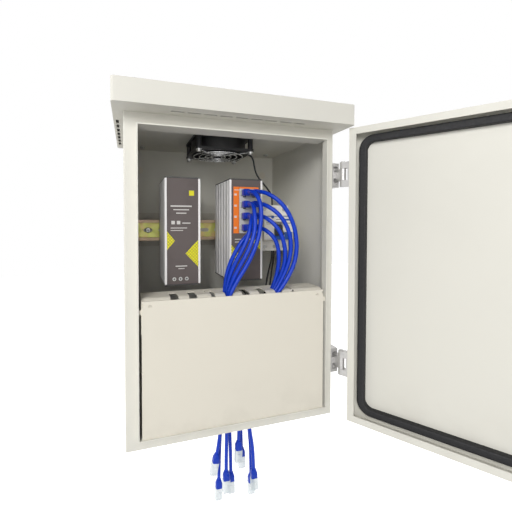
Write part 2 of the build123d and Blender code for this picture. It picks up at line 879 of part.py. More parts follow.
lead_routes = {
    "patch_lead_1": [(27, -179, 122.1), (27, -188.5, 122.1), (29, -198, 119), (31, -206.5, 112),
                     (32.5, -212, 101), (32.5, -214, 87), (31, -214.5, 70), (27, -215, 52),
                     (19, -214.5, 32), (9, -213.5, 14), (-2, -212, -3), (-11.6, -211.4, -20),
                     (-16.5, -210.5, -37), (-18.5, -204, -54), (-18, -191, -72), (-15, -173, -91),
                     (-11, -153, -113), (-6, -134, -140), (0, -120, -170), (3.5, -114, -202),
                     (4, -113, -235), (2.5, -113, -268), (-0.5, -113, -296),
                     (-4, -113, -313.5)],
    "patch_lead_2": [(27, -179, 104.4), (27, -188, 104.4), (26.5, -198, 101.5), (25, -206.5, 94.5),
                     (24, -211.5, 83.5), (23.5, -213.8, 69), (19.5, -215, 53), (11.5, -214.5, 35),
                     (2, -211.5, 17), (-6, -208, 0), (-12, -205.3, -17), (-15, -203.5, -34),
                     (-15, -197, -52), (-12, -184, -70), (-6.5, -167, -90), (-0.5, -150, -113),
                     (6, -135, -140), (10.5, -123, -172), (12, -118.5, -205), (12, -118.5, -238),
                     (11.5, -119, -271), (10.7, -119.5, -303),
                     (10.2, -120, -322), (10, -120.8, -340.3)],
    "patch_lead_3": [(27, -179, 86.7), (27, -188, 86.7), (24.5, -198, 83.5), (20, -206, 76),
                     (16.5, -210.5, 65), (12, -211.5, 52), (5, -210, 37), (-2.5, -206.5, 22),
                     (-8.5, -203, 6.5), (-12.3, -200, -9.5), (-13.8, -198.2, -25), (-14, -194, -41),
                     (-12, -185, -57), (-7, -171, -75), (0, -155, -96), (7.5, -139, -121),
                     (14, -123, -150), (18.5, -111, -182), (19.5, -106.5, -214), (20, -106, -247),
                     (20.7, -105.5, -280), (22, -105, -308), (22.7, -105, -333),
                     (23, -105.3, -357.2)],
    "patch_lead_4": [(27, -179, 69), (27, -188.5, 69), (23.5, -198, 65.5), (16.5, -204.5, 59.5),
                     (8, -205.5, 51.5), (0.5, -203.5, 40), (-5.5, -200, 26), (-10, -196, 12),
                     (-12.8, -192.8, -4), (-13.8, -191.3, -21), (-13.5, -187.5, -37), (-10.5, -177, -53),
                     (-5.5, -162, -71), (-0.5, -144, -92), (3.5, -126, -118), (6.5, -111, -148),
                     (8.2, -101, -181), (8.5, -98, -214), (8, -97.5, -247), (7, -97, -280),
                     (5.5, -96.5, -312),
                     (4.5, -96.3, -342), (4, -96.2, -372.5)],
    "patch_lead_5": [(42, -179, 122.1), (42, -188.5, 122.1), (46.5, -198, 119.5), (54, -206, 114),
                     (62.5, -211.5, 106), (71.5, -214.5, 94.5), (79.5, -215.5, 79.5), (85, -215.5, 62.5),
                     (87.5, -215, 44), (86, -214.5, 25), (80, -213.5, 8), (71.3, -212.3, -7.5),
                     (62, -210.9, -21), (51.5, -208, -34), (39.5, -202, -47), (30.5, -189, -62),
                     (26.5, -173, -81), (27.5, -155, -103), (31, -138, -130), (35, -123, -161),
                     (37, -115.5, -194), (37, -114, -227), (36, -114, -259), (34.5, -114.5, -283),
                     (34, -114.9, -298)],
    "patch_lead_6": [(42, -179, 104.4), (42, -188, 104.4), (45.5, -198, 102), (52.5, -205.5, 96.5),
                     (61, -210.5, 88.5), (69.5, -212.5, 77), (76, -213, 63), (79.5, -212.5, 47),
                     (79.5, -211, 30), (76, -209, 13.5), (70, -206.2, -2), (62.7, -204.5, -17),
                     (53, -203, -30), (42.5, -197.6, -42), (36, -187, -58), (34.5, -172, -77),
                     (36.5, -155, -99), (39.5, -137, -125), (41.5, -119, -155), (42, -107, -187),
                     (42, -101, -219), (42.5, -99.5, -252), (43.5, -98.5, -284), (44.4, -98, -303),
                     (45, -98, -323)],
    "patch_lead_7": [(42, -179, 86.7), (42, -188.5, 86.7), (45.5, -198, 84), (52, -205, 78),
                     (59.5, -209, 69.5), (66, -210, 58), (71, -209, 44), (73.8, -206.5, 29),
                     (73.3, -203, 13), (69, -200, -2.5), (61.8, -198.2, -17.5), (53.5, -196.5, -30),
                     (46, -190, -42.5), (41.5, -178.5, -58), (41, -164, -77), (43.5, -149, -100),
                     (47, -134, -127), (50, -121, -158), (51, -113.5, -191), (51, -112, -224),
                     (52.5, -112, -257), (56, -112.5, -289), (60, -113, -312), (61.5, -113, -333),
                     (62.3, -113.3, -354.3)],
    "patch_lead_8": [(42, -179, 69), (42, -188.5, 69), (45.5, -198, 66), (52, -204, 60),
                     (59, -205, 51), (64, -203, 39), (66.5, -200, 25), (67.3, -196.5, 10),
                     (65.3, -193, -5), (60.8, -191.3, -20), (54.5, -188, -34), (49, -179.5, -47),
                     (46, -166.5, -64), (47, -152, -85), (50.5, -136, -111), (54, -119, -141),
                     (56.5, -104, -173), (57, -98, -206), (57, -97, -239), (58.5, -96.5, -272),
                     (61, -96, -304), (63, -95.5, -322), (64, -95.2, -349),
                     (64.4, -95.2, -376.8)],
}


def lead_end(name):
    return lead_routes[name][-1]


def lead_end_turn(name):
    """Turns a plug built along +Y so that it points along the last run of its lead."""
    a, b = lead_routes[name][-2:]
    along = Vector(b[0] - a[0], b[1] - a[1], b[2] - a[2]).normalized()
    plane = Plane(origin=(0, 0, 0), x_dir=along.cross(Vector(0, 1, 0)), z_dir=-along)
    return plane.location * Rot(-90, 0, 0)


def field_plugs():
    plugs = []
    for name in lead_routes:
        plugs.append(Pos(*lead_end(name)) * lead_end_turn(name) * plug(0, boot_length, 0, Rot(0, 0, 0)))
    return group(plugs)


def lead_boots():
    boots = [boot(x, plug_back_y, z, Rot(0, 0, 0)) for x, z in jack_places()]
    for name in lead_routes:
        flipped = boot(0, boot_length, 0, Rot(0, 0, 0))
        boots.append(Pos(*lead_end(name)) * lead_end_turn(name) * flipped)
    return group(boots)


# Breaker

breaker_back = rail_front
breaker_front = breaker_back - breaker_shoulder - breaker_nose
breaker_x0 = breaker_middle - breaker_module * breaker_modules / 2
breaker_x1 = breaker_middle + breaker_module * breaker_modules / 2
breaker_low = rail_height + 3.5 - breaker_height / 2
breaker_high = rail_height + 3.5 + breaker_height / 2
breaker_centre = (breaker_low + breaker_high) / 2
toggle_y = breaker_front + toggle_sink
button_z = breaker_centre + button_rise


def breaker_terminals():
    xs = [breaker_x0 + breaker_module * (i + 0.5) for i in range(breaker_modules)]
    return [(x, z) for x in xs for z in (breaker_low + terminal_rise, breaker_high - terminal_rise)]


def breaker_body():
    shoulder_y = breaker_front + breaker_nose
    nose = breaker_nose_height / 2
    back = breaker_back + breaker_hug
    slope = 3.0
    notch = rail_width / 2 + slide_clearance
    points = [(back, breaker_low), (shoulder_y, breaker_low), (shoulder_y, breaker_centre - nose),
              (breaker_front, breaker_centre - nose + slope), (breaker_front, breaker_centre + nose - slope),
              (shoulder_y, breaker_centre + nose), (shoulder_y, breaker_high), (back, breaker_high),
              (back, rail_height + notch), (breaker_back, rail_height + notch),
              (breaker_back, rail_height - notch), (back, rail_height - notch)]
    body = across(breaker_x0, breaker_x1, points)
    hook_y = rail_front + rail_sheet + slide_clearance
    body += block(breaker_x0 + 2, breaker_x1 - 2, hook_y, back, rail_height + notch - clip_tooth,
                  rail_height + notch)
    for i in range(1, breaker_modules):
        x = breaker_x0 + breaker_module * i
        seam = across(x - seam_width / 2, x + seam_width / 2, points[:8])
        core = [(back - 2, breaker_low + seam_depth), (shoulder_y + seam_depth, breaker_low + seam_depth),
                (shoulder_y + seam_depth, breaker_centre - nose + seam_depth),
                (breaker_front + seam_depth, breaker_centre - nose + slope),
                (breaker_front + seam_depth, breaker_centre + nose - slope),
                (shoulder_y + seam_depth, breaker_centre + nose - seam_depth),
                (shoulder_y + seam_depth, breaker_high - seam_depth), (back - 2, breaker_high - seam_depth)]
        keep = across(x - seam_width, x + seam_width, core)
        rear = block(x - seam_width, x + seam_width, back - 2, back + 2, breaker_low - 1, breaker_high + 1)
        body -= seam - keep - rear
    window = toggle_window / 2
    half = toggle_width / 2 + slide_clearance + 0.1
    body -= block(breaker_middle - half, breaker_middle + half, breaker_front - 1,
                  toggle_y + toggle_drum_radius + slide_clearance + 0.2,
                  breaker_centre - window, breaker_centre + window)
    body -= rod_x(breaker_middle - half - 3, breaker_middle + half + 3, toggle_y, breaker_centre,
                  pin_radius + running_clearance)
    body -= rod_y(breaker_middle + button_x, breaker_front - 1, breaker_front + button_length,
                  button_z, button_radius + 2 * running_clearance)
    for x, z in breaker_terminals():
        body -= rod_y(x, shoulder_y - 1, shoulder_y + terminal_sink, z, terminal_radius)
    channel = rail_latch_width / 2 + slide_clearance
    body -= block(breaker_middle - channel, breaker_middle + channel, breaker_back + rail_sheet - 0.4,
                  back + 1, breaker_low - 1, rail_height - rail_width / 2 + 5)
    return body


def breaker_toggle():
    half = toggle_width / 2
    lever = block(breaker_middle - half, breaker_middle + half, toggle_y - toggle_reach, toggle_y,
                  breaker_centre - toggle_thickness / 2, breaker_centre + toggle_thickness / 2)
    lever = fillet(lever.faces().sort_by(Axis.Y)[0].edges().filter_by(Axis.X), 1.6)
    drum = rod_x(breaker_middle - half, breaker_middle + half, toggle_y, breaker_centre, toggle_drum_radius)
    axle = rod_x(breaker_middle - half - 3, breaker_middle + half + 3, toggle_y, breaker_centre, pin_radius)
    axis = Axis((breaker_middle, toggle_y, breaker_centre), (1, 0, 0))
    return (lever + drum + axle).rotate(axis, toggle_rest_angle)


def breaker_test_button():
    x = breaker_middle + button_x
    end = breaker_front + button_length - button_show - 2 * slide_clearance
    return rod_y(x, breaker_front - button_show, end, button_z, button_radius)


def breaker_rail_latch():
    half = rail_latch_width / 2
    y0 = rail_front + rail_sheet + slide_clearance
    z1 = rail_height - rail_width / 2 + rail_latch_bite
    latch = block(breaker_middle - half, breaker_middle + half, y0, y0 + rail_latch_thickness - 0.6,
                  z1 - rail_latch_length, z1)
    eye = rod_y(breaker_middle, y0 - 1, y0 + rail_latch_thickness, z1 - rail_latch_length + 3, 1.6)
    return latch - eye


def breaker_terminal_screws():
    screws = []
    floor_y = breaker_front + breaker_nose + terminal_sink
    for x, z in breaker_terminals():
        head = rod_y(x, floor_y - terminal_screw_head, floor_y, z, terminal_screw_radius)
        head -= block(x - terminal_radius, x + terminal_radius, floor_y - 2 * terminal_screw_head,
                      floor_y - terminal_screw_head + 0.6, z - 0.4, z + 0.4)
        screws.append(head)
    return group(screws)


# Fan

def fan_frame():
    z0, z1 = fan_bottom, fan_top
    frame = rounded_plate(fan_size, fan_size, fan_corner, fan_x, fan_y, z0, z0 + fan_flange)
    frame += rounded_plate(fan_size, fan_size, fan_corner, fan_x, fan_y, z1 - fan_flange, z1)
    frame += rod_z(fan_x, fan_y, z0, z1, fan_bore_radius + fan_wall)
    for x, y in fan_screw_places():
        frame += rod_z(x, y, z0, z1, fan_post_radius)
    frame -= rod_z(fan_x, fan_y, z0 - 1, z1 + 1, fan_bore_radius)
    for x, y in fan_screw_places():
        frame -= rod_z(x, y, z0 - 1, z1 + 1, fan_hole_radius)
    frame += rod_z(fan_x, fan_y, z1 - fan_motor_plate, z1, fan_motor_radius)
    for angle in (45, 135, 225, 315):
        strut = block(fan_motor_radius - 1, fan_bore_radius + fan_wall / 2, -fan_strut_width / 2,
                      fan_strut_width / 2, z1 - fan_motor_plate, z1)
        frame += Pos(fan_x, fan_y, 0) * Rot(0, 0, angle) * strut
    frame -= rod_z(fan_x, fan_y, z1 - fan_motor_plate - 1, z1 + 1, shaft_radius + running_clearance)
    return frame


def fan_impeller():
    hub_low = fan_bottom + 2.0
    hub_high = fan_top - fan_motor_plate - hub_gap
    hub = rod_z(fan_x, fan_y, hub_low, hub_high, hub_radius)
    hub = fillet(hub.faces().sort_by(Axis.Z)[0].edges(), 2.0)
    middle = (hub_low + hub_high) / 2
    tip = fan_bore_radius - blade_tip_gap
    limit = rod_z(fan_x, fan_y, hub_low, hub_high, tip)
    blades = []
    for i in range(blade_count):
        blade = block(hub_radius - 2, tip + 2, -blade_chord / 2, blade_chord / 2,
                      -blade_thickness / 2, blade_thickness / 2)
        blade = Rot(0, 0, 360 * i / blade_count) * Rot(blade_pitch, 0, 0) * blade
        blades.append((Pos(fan_x, fan_y, middle) * blade) & limit)
    for blade in blades:
        hub += blade
    return hub + rod_z(fan_x, fan_y, hub_high, fan_top - 0.2, shaft_radius)


def fan_guard():
    """Rings welded below four arms, each arm ending in a flat eyelet."""
    arm_z = fan_bottom - guard_wire - 2 * running_clearance
    ring_z = arm_z - 2 * guard_wire + guard_weld
    guard = Pos(fan_x, fan_y, ring_z) * Torus(guard_first_ring, guard_wire)
    for angle in (45, 135, 225, 315):
        end = fan_hole_offset * 2 ** 0.5 - eyelet_radius + 1
        arm = rod_x(guard_first_ring - guard_wire, end, 0, 0, guard_wire)
        guard += Pos(fan_x, fan_y, arm_z) * Rot(0, 0, angle) * arm
    for i in range(1, guard_rings):
        guard += Pos(fan_x, fan_y, ring_z) * Torus(guard_first_ring + i * guard_ring_pitch, guard_wire)
    for x, y in fan_screw_places():
        guard += rod_z(x, y, fan_bottom - eyelet, fan_bottom, eyelet_radius)
    for x, y in fan_screw_places():
        guard -= rod_z(x, y, fan_bottom - 4, fan_bottom + 1, fan_hole_radius)
    return guard


def fan_screws():
    screws = []
    for x, y in fan_screw_places():
        z = fan_bottom - eyelet
        head = rod_z(x, y, z - fan_screw_head, z, fan_screw_head_radius)
        head = fillet(head.faces().sort_by(Axis.Z)[0].edges(), 1.0)
        screws.append(head + rod_z(x, y, z, top + sheet + 2, fan_screw_radius))
    return group(screws)


fan_cable_route = [(44.05, -110, 193.5), (55, -110, 193.5), (62, -109, 185.5), (64.5, -107.5, 174.5),
                   (67.5, -106.5, 163.5), (73.5, -107, 153), (81.5, -109, 143.5), (90, -110, 134),
                   (98, -109, 122.5), (98, -109, 106.75)]


# Comb and cover

comb_front = front - comb_ahead
comb_rear = front + comb_back
comb_x0 = left + lip_inset + comb_side_gap
comb_x1 = right - lip_inset - comb_side_gap


def comb_section():
    y0, z1 = comb_front, comb_top
    bend = comb_bend
    t = comb_sheet
    diagonal = 0.5 ** 0.5
    cy, cz = y0 + bend, z1 - bend
    outer_mid = (cy - bend * diagonal, cz + bend * diagonal)
    inner_mid = (cy - (bend - t) * diagonal, cz + (bend - t) * diagonal)
    edges = [Line((comb_rear, z1), (cy, z1)),
             ThreePointArc((cy, z1), outer_mid, (y0, cz)),
             Line((y0, cz), (y0, comb_web_bottom)),
             Line((y0, comb_web_bottom), (y0 + t, comb_web_bottom)),
             Line((y0 + t, comb_web_bottom), (y0 + t, cz)),
             ThreePointArc((y0 + t, cz), inner_mid, (cy, z1 - t)),
             Line((cy, z1 - t), (comb_rear, z1 - t)),
             Line((comb_rear, z1 - t), (comb_rear, z1))]
    return Plane.YZ * make_face(edges)


def cable_comb():
    comb = Pos(comb_x0, 0, 0) * extrude(comb_section(), comb_x1 - comb_x0)
    rear = front + comb_slot_end
    for i in range(comb_slot_count):
        x0 = comb_slot_first + i * comb_slot_pitch
        x1 = x0 + comb_slot_width
        if i == comb_flap_slot:
            slot = block(x1 - comb_flap_width, x1, comb_front - 1, rear - 4, comb_slot_bottom, comb_top + 1)
            slot += block(x0, x1, rear - comb_flap_slit, rear, comb_top - 4, comb_top + 1)
            slot += block(x0, x0 + comb_flap_slit, rear - 8, rear, comb_top - 4, comb_top + 1)
        elif i == comb_slot_count - 1:
            slot = block(x0, x0 + comb_last_flap_width, comb_front - 1, rear, comb_slot_bottom, comb_top + 1)
        else:
            slot = block(x0, x1, comb_front - 1, rear, comb_slot_bottom, comb_top + 1)
        comb -= slot
    for row in (0, 1):
        y = comb_rear - 12 - row * 11
        tie = block(comb_tie_slot_x - comb_tie_slot_length / 2, comb_tie_slot_x + comb_tie_slot_length / 2,
                    y - comb_tie_slot_width / 2, y + comb_tie_slot_width / 2, comb_top - 4, comb_top + 1)
        comb -= tie
    z0 = comb_tab_middle - comb_tab_height / 2
    z1 = comb_tab_middle + comb_tab_height / 2
    lip_x = right - lip_inset
    for side in (-1, 1):
        xs = sorted((side * lip_x, side * (lip_x - comb_side_gap - 1)))
        comb += block(xs[0], xs[1], comb_front, comb_front + comb_sheet, z0, z1)
        xs = sorted((side * lip_x, side * (lip_x - comb_sheet)))
        comb += block(xs[0], xs[1], comb_front, comb_front + comb_sheet + comb_tab_depth, z0, z1)
        comb -= rod_x(side * lip_x - 2 * sheet, side * lip_x + 2 * sheet, comb_tab_screw_y(),
                      comb_tab_middle, comb_screw_radius + screw_clearance)
        comb += block(side * cover_hook_x - cover_hook_width / 2, side * cover_hook_x + cover_hook_width / 2,
                      comb_front - sheet - cover_hook_reach, comb_front + comb_sheet / 2,
                      cover_hook_height - comb_sheet / 2, cover_hook_height + comb_sheet / 2)
    return comb


def comb_screws():
    screws = []
    lip_x = right - lip_inset
    for side in (-1, 1):
        head = rod_x(0, comb_screw_head, 0, 0, comb_screw_head_radius)
        shank = rod_x(-comb_sheet - sheet, 0, 0, 0, comb_screw_radius)
        screw = head + shank
        if side > 0:
            screw = Rot(0, 0, 180) * screw
        screws.append(Pos(side * (lip_x - comb_sheet), comb_tab_screw_y(), comb_tab_middle) * screw)
    return group(screws)


def lower_cover():
    half = right - lip_inset - cover_gap
    y1 = comb_front
    cover = block(-half, half, y1 - sheet, y1, bottom + lip_inset, cover_top)
    for side in (-1, 1):
        play = cover_slot_play
        hole = rounded_frame(cover_hook_width + 2 * play, comb_sheet + 2 * play, 1.0,
                             y1 - 2 * sheet, y1 + sheet, side * cover_hook_x, cover_hook_height)
        cover -= hole
        cover -= rod_y(side * half, y1 - 2 * sheet, y1 + sheet, cover_top - 2 * cover_notch_radius,
                       cover_notch_radius)
    return cover


def cable_grommet():
    def ring(width, depth, corner, z0, z1):
        return rounded_plate(width, depth, corner, floor_opening_x, floor_opening_y, z0, z1)
    out = 2 * grommet_flange
    grommet = ring(floor_opening_width, floor_opening_depth, floor_opening_corner,
                   bottom - grommet_flange, bottom + sheet + grommet_flange)
    for z0, z1 in ((bottom - grommet_flange, bottom), (bottom + sheet, bottom + sheet + grommet_flange)):
        grommet += ring(floor_opening_width + out, floor_opening_depth + out,
                        floor_opening_corner + grommet_flange, z0, z1)
    grommet -= ring(floor_opening_width - 2 * grommet_wall, floor_opening_depth - 2 * grommet_wall,
                    floor_opening_corner - grommet_wall, bottom - 2 * grommet_flange,
                    bottom + 2 * grommet_flange + sheet)
    return grommet


# Supply wiring

supply_routes = {
    "supply_wire_line": [(99, -106, breaker_low), (99, -106, 17.5), (94.5, -113, 9), (86, -124, -1),
                         (76.5, -138, -11), (69, -149, -24), (65, -152, -40), (62, -142, -55),
                         (59.5, -122, -63), (58, -96, -64), (58, -68, -60), (58, -42, -55),
                         (58, -24, -56), (58, -15, -62.5), (58, -15, -74)],
    "supply_wire_neutral": [(105.5, -100, breaker_low), (105.5, -100, 17.5), (101, -108, 9), (93, -120, -1),
                            (84, -135, -11), (77, -147, -24), (73, -151, -40), (70.5, -142, -55),
                            (68.5, -122, -63), (68, -96, -64), (68, -68, -60), (68, -42, -55),
                            (68, -24, -56), (68, -15, -62.5), (68, -15, -74)],
}


def terminal_block():
    half = terminal_block_poles * terminal_block_pitch / 2
    x0, x1 = terminal_block_middle - half, terminal_block_middle + half
    z0, z1 = terminal_block_top - terminal_block_height, terminal_block_top
    body = block(x0, x1, -sheet - terminal_block_depth, -sheet, z0, z1)
    body = chamfer(body.edges().filter_by(Axis.X).group_by(Axis.Y)[0], 3.0)
    for i in range(terminal_block_poles):
        x = x0 + (i + 0.5) * terminal_block_pitch
        body -= rod_y(x, -sheet - terminal_block_depth - 1, -sheet - terminal_block_depth + 6,
                      (z0 + z1) / 2, 3.0)
    return body


def earth_stud():
    floor_z = bottom + sheet
    y = -earth_stud_from_back
    stud = rod_z(earth_stud_x, y, floor_z, floor_z + earth_stud_length, earth_stud_radius)
    washer = rod_z(earth_stud_x, y, floor_z, floor_z + earth_washer, earth_washer_radius)
    nut = hexagon_z(earth_stud_x, y, floor_z + earth_washer, floor_z + earth_washer + earth_nut,
                    earth_nut_radius)
    return stud + washer + nut


def build_all():
    nodes = {
        "cabinet_body": cabinet_body(),
        "rain_hood": rain_hood(),
        "hood_screws": hood_screws(),
        "door_shell": door_shell(),
        "door_gasket": door_gasket(),
        "hinge_body_leaves": hinge_body_leaves(),
        "hinge_door_leaves": hinge_door_leaves(),
        "hinge_pins": hinge_pins(),
        "hinge_body_screws": hinge_body_screws(),
        "hinge_door_screws": hinge_door_screws(),
        "lock_body": lock_body(),
        "lock_nut": lock_nut(),
        "lock_spindle": lock_spindle(),
        "lock_cam": lock_cam(),
        "lock_cam_bolt": lock_cam_bolt(),
        "rail_bracket": rail_bracket(),
        "bracket_nuts": bracket_nuts(),
        "din_rail": din_rail(),
        "rail_screws": rail_screws(),
        "psu_casing": psu_casing(),
        "psu_front_panel": psu_front_panel(),
        "psu_end_caps": housing_caps(*psu_body),
        "psu_terminal_screws": psu_terminal_screws(),
        "psu_rail_clip": rail_clip(psu_middle),
        "psu_board": housing_board(*psu_body),
        "switch_casing": switch_casing(),
        "switch_front_panel": switch_front_panel(),
        "switch_port_block": switch_port_block(),
        "switch_end_caps": housing_caps(*switch_body),
        "switch_rail_clip": rail_clip(switch_middle),
        "switch_board": housing_board(*switch_body),
        "port_plugs": port_plugs(),
        "field_plugs": field_plugs(),
        "lead_boots": lead_boots(),
        "breaker_body": breaker_body(),
        "breaker_toggle": breaker_toggle(),
        "breaker_test_button": breaker_test_button(),
        "breaker_rail_latch": breaker_rail_latch(),
        "breaker_terminal_screws": breaker_terminal_screws(),
        "fan_frame": fan_frame(),
        "fan_impeller": fan_impeller(),
        "fan_guard": fan_guard(),
        "fan_screws": fan_screws(),
        "fan_cable": cord_tube("fan_cable", fan_cable_route, fan_cable_diameter),
        "cable_comb": cable_comb(),
        "comb_screws": comb_screws(),
        "lower_cover": lower_cover(),
        "cable_grommet": cable_grommet(),
        "terminal_block": terminal_block(),
        "earth_stud": earth_stud(),
    }
    for name, route in supply_routes.items():
        nodes[name] = cord_tube(name, route, supply_wire_diameter)
    for name, route in lead_routes.items():
        nodes[name] = cord_tube(name, route, lead_diameter)
    return nodes


os.makedirs("parts", exist_ok=True)
for node, shape in build_all().items():
    export_step(shape, "parts/" + node + ".step")
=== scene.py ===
import bpy
import math
from mathutils import Matrix, Vector


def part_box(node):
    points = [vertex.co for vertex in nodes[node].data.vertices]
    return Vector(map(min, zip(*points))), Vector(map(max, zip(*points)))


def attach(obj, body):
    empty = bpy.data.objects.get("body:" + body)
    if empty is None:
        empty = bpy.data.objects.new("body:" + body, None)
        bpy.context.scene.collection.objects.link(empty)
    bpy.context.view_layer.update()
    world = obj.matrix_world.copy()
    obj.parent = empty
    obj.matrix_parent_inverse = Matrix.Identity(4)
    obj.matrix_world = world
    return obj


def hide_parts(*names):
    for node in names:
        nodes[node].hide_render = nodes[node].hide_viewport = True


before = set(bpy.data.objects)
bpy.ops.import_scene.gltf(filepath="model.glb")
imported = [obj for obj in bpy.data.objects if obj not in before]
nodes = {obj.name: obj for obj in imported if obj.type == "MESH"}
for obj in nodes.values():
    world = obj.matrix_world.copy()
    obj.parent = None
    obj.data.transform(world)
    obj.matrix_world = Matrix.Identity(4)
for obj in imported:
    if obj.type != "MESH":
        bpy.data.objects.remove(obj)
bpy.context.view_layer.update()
scene = bpy.context.scene
mm = 0.001

print("camera")
cameraSet = {
    "place": (-143.6, -625.1, 76.4),
    "yaw": 16.51,  # degrees towards +X
    "pitch": -1.39,
    "lens": 22.47,
    "sensor": 36.0,
    "shift": (0.0627, -0.0500),
    "nearest": 20.0,  # nothing nearer than this is seen
}


def makeCamera(s):
    yaw, pitch = math.radians(s["yaw"]), math.radians(s["pitch"])
    forward = Vector((math.sin(yaw) * math.cos(pitch), math.cos(yaw) * math.cos(pitch), math.sin(pitch)))
    side = Vector((math.cos(yaw), -math.sin(yaw), 0))
    up = side.cross(forward)
    data = bpy.data.cameras.new("camera")
    data.lens = s["lens"]
    data.sensor_width = s["sensor"]
    data.shift_x, data.shift_y = s["shift"]
    data.clip_start = s["nearest"] * mm
    camera = bpy.data.objects.new("camera", data)
    scene.collection.objects.link(camera)
    turn = Matrix((side, up, -forward)).transposed().to_4x4()
    camera.matrix_world = Matrix.Translation(Vector(s["place"]) * mm) @ turn
    scene.camera = camera


makeCamera(cameraSet)

print("cords")
cordSet = {
    "leadDiameter": 6.0,
    "leadLength": 500.0,
    "wireDiameter": 3.0,
}

leadRoutes = {
    "patch_lead_1": [(27, -179, 122.1), (27, -188.5, 122.1), (29, -198, 119), (31, -206.5, 112),
                     (32.5, -212, 101), (32.5, -214, 87), (31, -214.5, 70), (27, -215, 52),
                     (19, -214.5, 32), (9, -213.5, 14), (-2, -212, -3), (-11.6, -211.4, -20),
                     (-16.5, -210.5, -37), (-18.5, -204, -54), (-18, -191, -72), (-15, -173, -91),
                     (-11, -153, -113), (-6, -134, -140), (0, -120, -170), (3.5, -114, -202),
                     (4, -113, -235), (2.5, -113, -268), (-0.5, -113, -296), (-4, -113, -313.5)],
    "patch_lead_2": [(27, -179, 104.4), (27, -188, 104.4), (26.5, -198, 101.5), (25, -206.5, 94.5),
                     (24, -211.5, 83.5), (23.5, -213.8, 69), (19.5, -215, 53), (11.5, -214.5, 35),
                     (2, -211.5, 17), (-6, -208, 0), (-12, -205.3, -17), (-15, -203.5, -34),
                     (-15, -197, -52), (-12, -184, -70), (-6.5, -167, -90), (-0.5, -150, -113),
                     (6, -135, -140), (10.5, -123, -172), (12, -118.5, -205), (12, -118.5, -238),
                     (11.5, -119, -271), (10.7, -119.5, -303), (10.2, -120, -322), (10, -120.8, -340.3)],
    "patch_lead_3": [(27, -179, 86.7), (27, -188, 86.7), (24.5, -198, 83.5), (20, -206, 76),
                     (16.5, -210.5, 65), (12, -211.5, 52), (5, -210, 37), (-2.5, -206.5, 22),
                     (-8.5, -203, 6.5), (-12.3, -200, -9.5), (-13.8, -198.2, -25), (-14, -194, -41),
                     (-12, -185, -57), (-7, -171, -75), (0, -155, -96), (7.5, -139, -121),
                     (14, -123, -150), (18.5, -111, -182), (19.5, -106.5, -214), (20, -106, -247),
                     (20.7, -105.5, -280), (22, -105, -308), (22.7, -105, -333), (23, -105.3, -357.2)],
    "patch_lead_4": [(27, -179, 69), (27, -188.5, 69), (23.5, -198, 65.5), (16.5, -204.5, 59.5),
                     (8, -205.5, 51.5), (0.5, -203.5, 40), (-5.5, -200, 26), (-10, -196, 12),
                     (-12.8, -192.8, -4), (-13.8, -191.3, -21), (-13.5, -187.5, -37), (-10.5, -177, -53),
                     (-5.5, -162, -71), (-0.5, -144, -92), (3.5, -126, -118), (6.5, -111, -148),
                     (8.2, -101, -181), (8.5, -98, -214), (8, -97.5, -247), (7, -97, -280),
                     (5.5, -96.5, -312), (4.5, -96.3, -342), (4, -96.2, -372.5)],
    "patch_lead_5": [(42, -179, 122.1), (42, -188.5, 122.1), (46.5, -198, 119.5), (54, -206, 114),
                     (62.5, -211.5, 106), (71.5, -214.5, 94.5), (79.5, -215.5, 79.5), (85, -215.5, 62.5),
                     (87.5, -215, 44), (86, -214.5, 25), (80, -213.5, 8), (71.3, -212.3, -7.5),
                     (62, -210.9, -21), (51.5, -208, -34), (39.5, -202, -47), (30.5, -189, -62),
                     (26.5, -173, -81), (27.5, -155, -103), (31, -138, -130), (35, -123, -161),
                     (37, -115.5, -194), (37, -114, -227), (36, -114, -259), (34.5, -114.5, -283),
                     (34, -114.9, -298)],
    "patch_lead_6": [(42, -179, 104.4), (42, -188, 104.4), (45.5, -198, 102), (52.5, -205.5, 96.5),
                     (61, -210.5, 88.5), (69.5, -212.5, 77), (76, -213, 63), (79.5, -212.5, 47),
                     (79.5, -211, 30), (76, -209, 13.5), (70, -206.2, -2), (62.7, -204.5, -17),
                     (53, -203, -30), (42.5, -197.6, -42), (36, -187, -58), (34.5, -172, -77),
                     (36.5, -155, -99), (39.5, -137, -125), (41.5, -119, -155), (42, -107, -187),
                     (42, -101, -219), (42.5, -99.5, -252), (43.5, -98.5, -284), (44.4, -98, -303),
                     (45, -98, -323)],
    "patch_lead_7": [(42, -179, 86.7), (42, -188.5, 86.7), (45.5, -198, 84), (52, -205, 78),
                     (59.5, -209, 69.5), (66, -210, 58), (71, -209, 44), (73.8, -206.5, 29),
                     (73.3, -203, 13), (69, -200, -2.5), (61.8, -198.2, -17.5), (53.5, -196.5, -30),
                     (46, -190, -42.5), (41.5, -178.5, -58), (41, -164, -77), (43.5, -149, -100),
                     (47, -134, -127), (50, -121, -158), (51, -113.5, -191), (51, -112, -224),
                     (52.5, -112, -257), (56, -112.5, -289), (60, -113, -312), (61.5, -113, -333),
                     (62.3, -113.3, -354.3)],
    "patch_lead_8": [(42, -179, 69), (42, -188.5, 69), (45.5, -198, 66), (52, -204, 60),
                     (59, -205, 51), (64, -203, 39), (66.5, -200, 25), (67.3, -196.5, 10),
                     (65.3, -193, -5), (60.8, -191.3, -20), (54.5, -188, -34), (49, -179.5, -47),
                     (46, -166.5, -64), (47, -152, -85), (50.5, -136, -111), (54, -119, -141),
                     (56.5, -104, -173), (57, -98, -206), (57, -97, -239), (58.5, -96.5, -272),
                     (61, -96, -304), (63, -95.5, -322), (64, -95.2, -349), (64.4, -95.2, -376.8)],
}

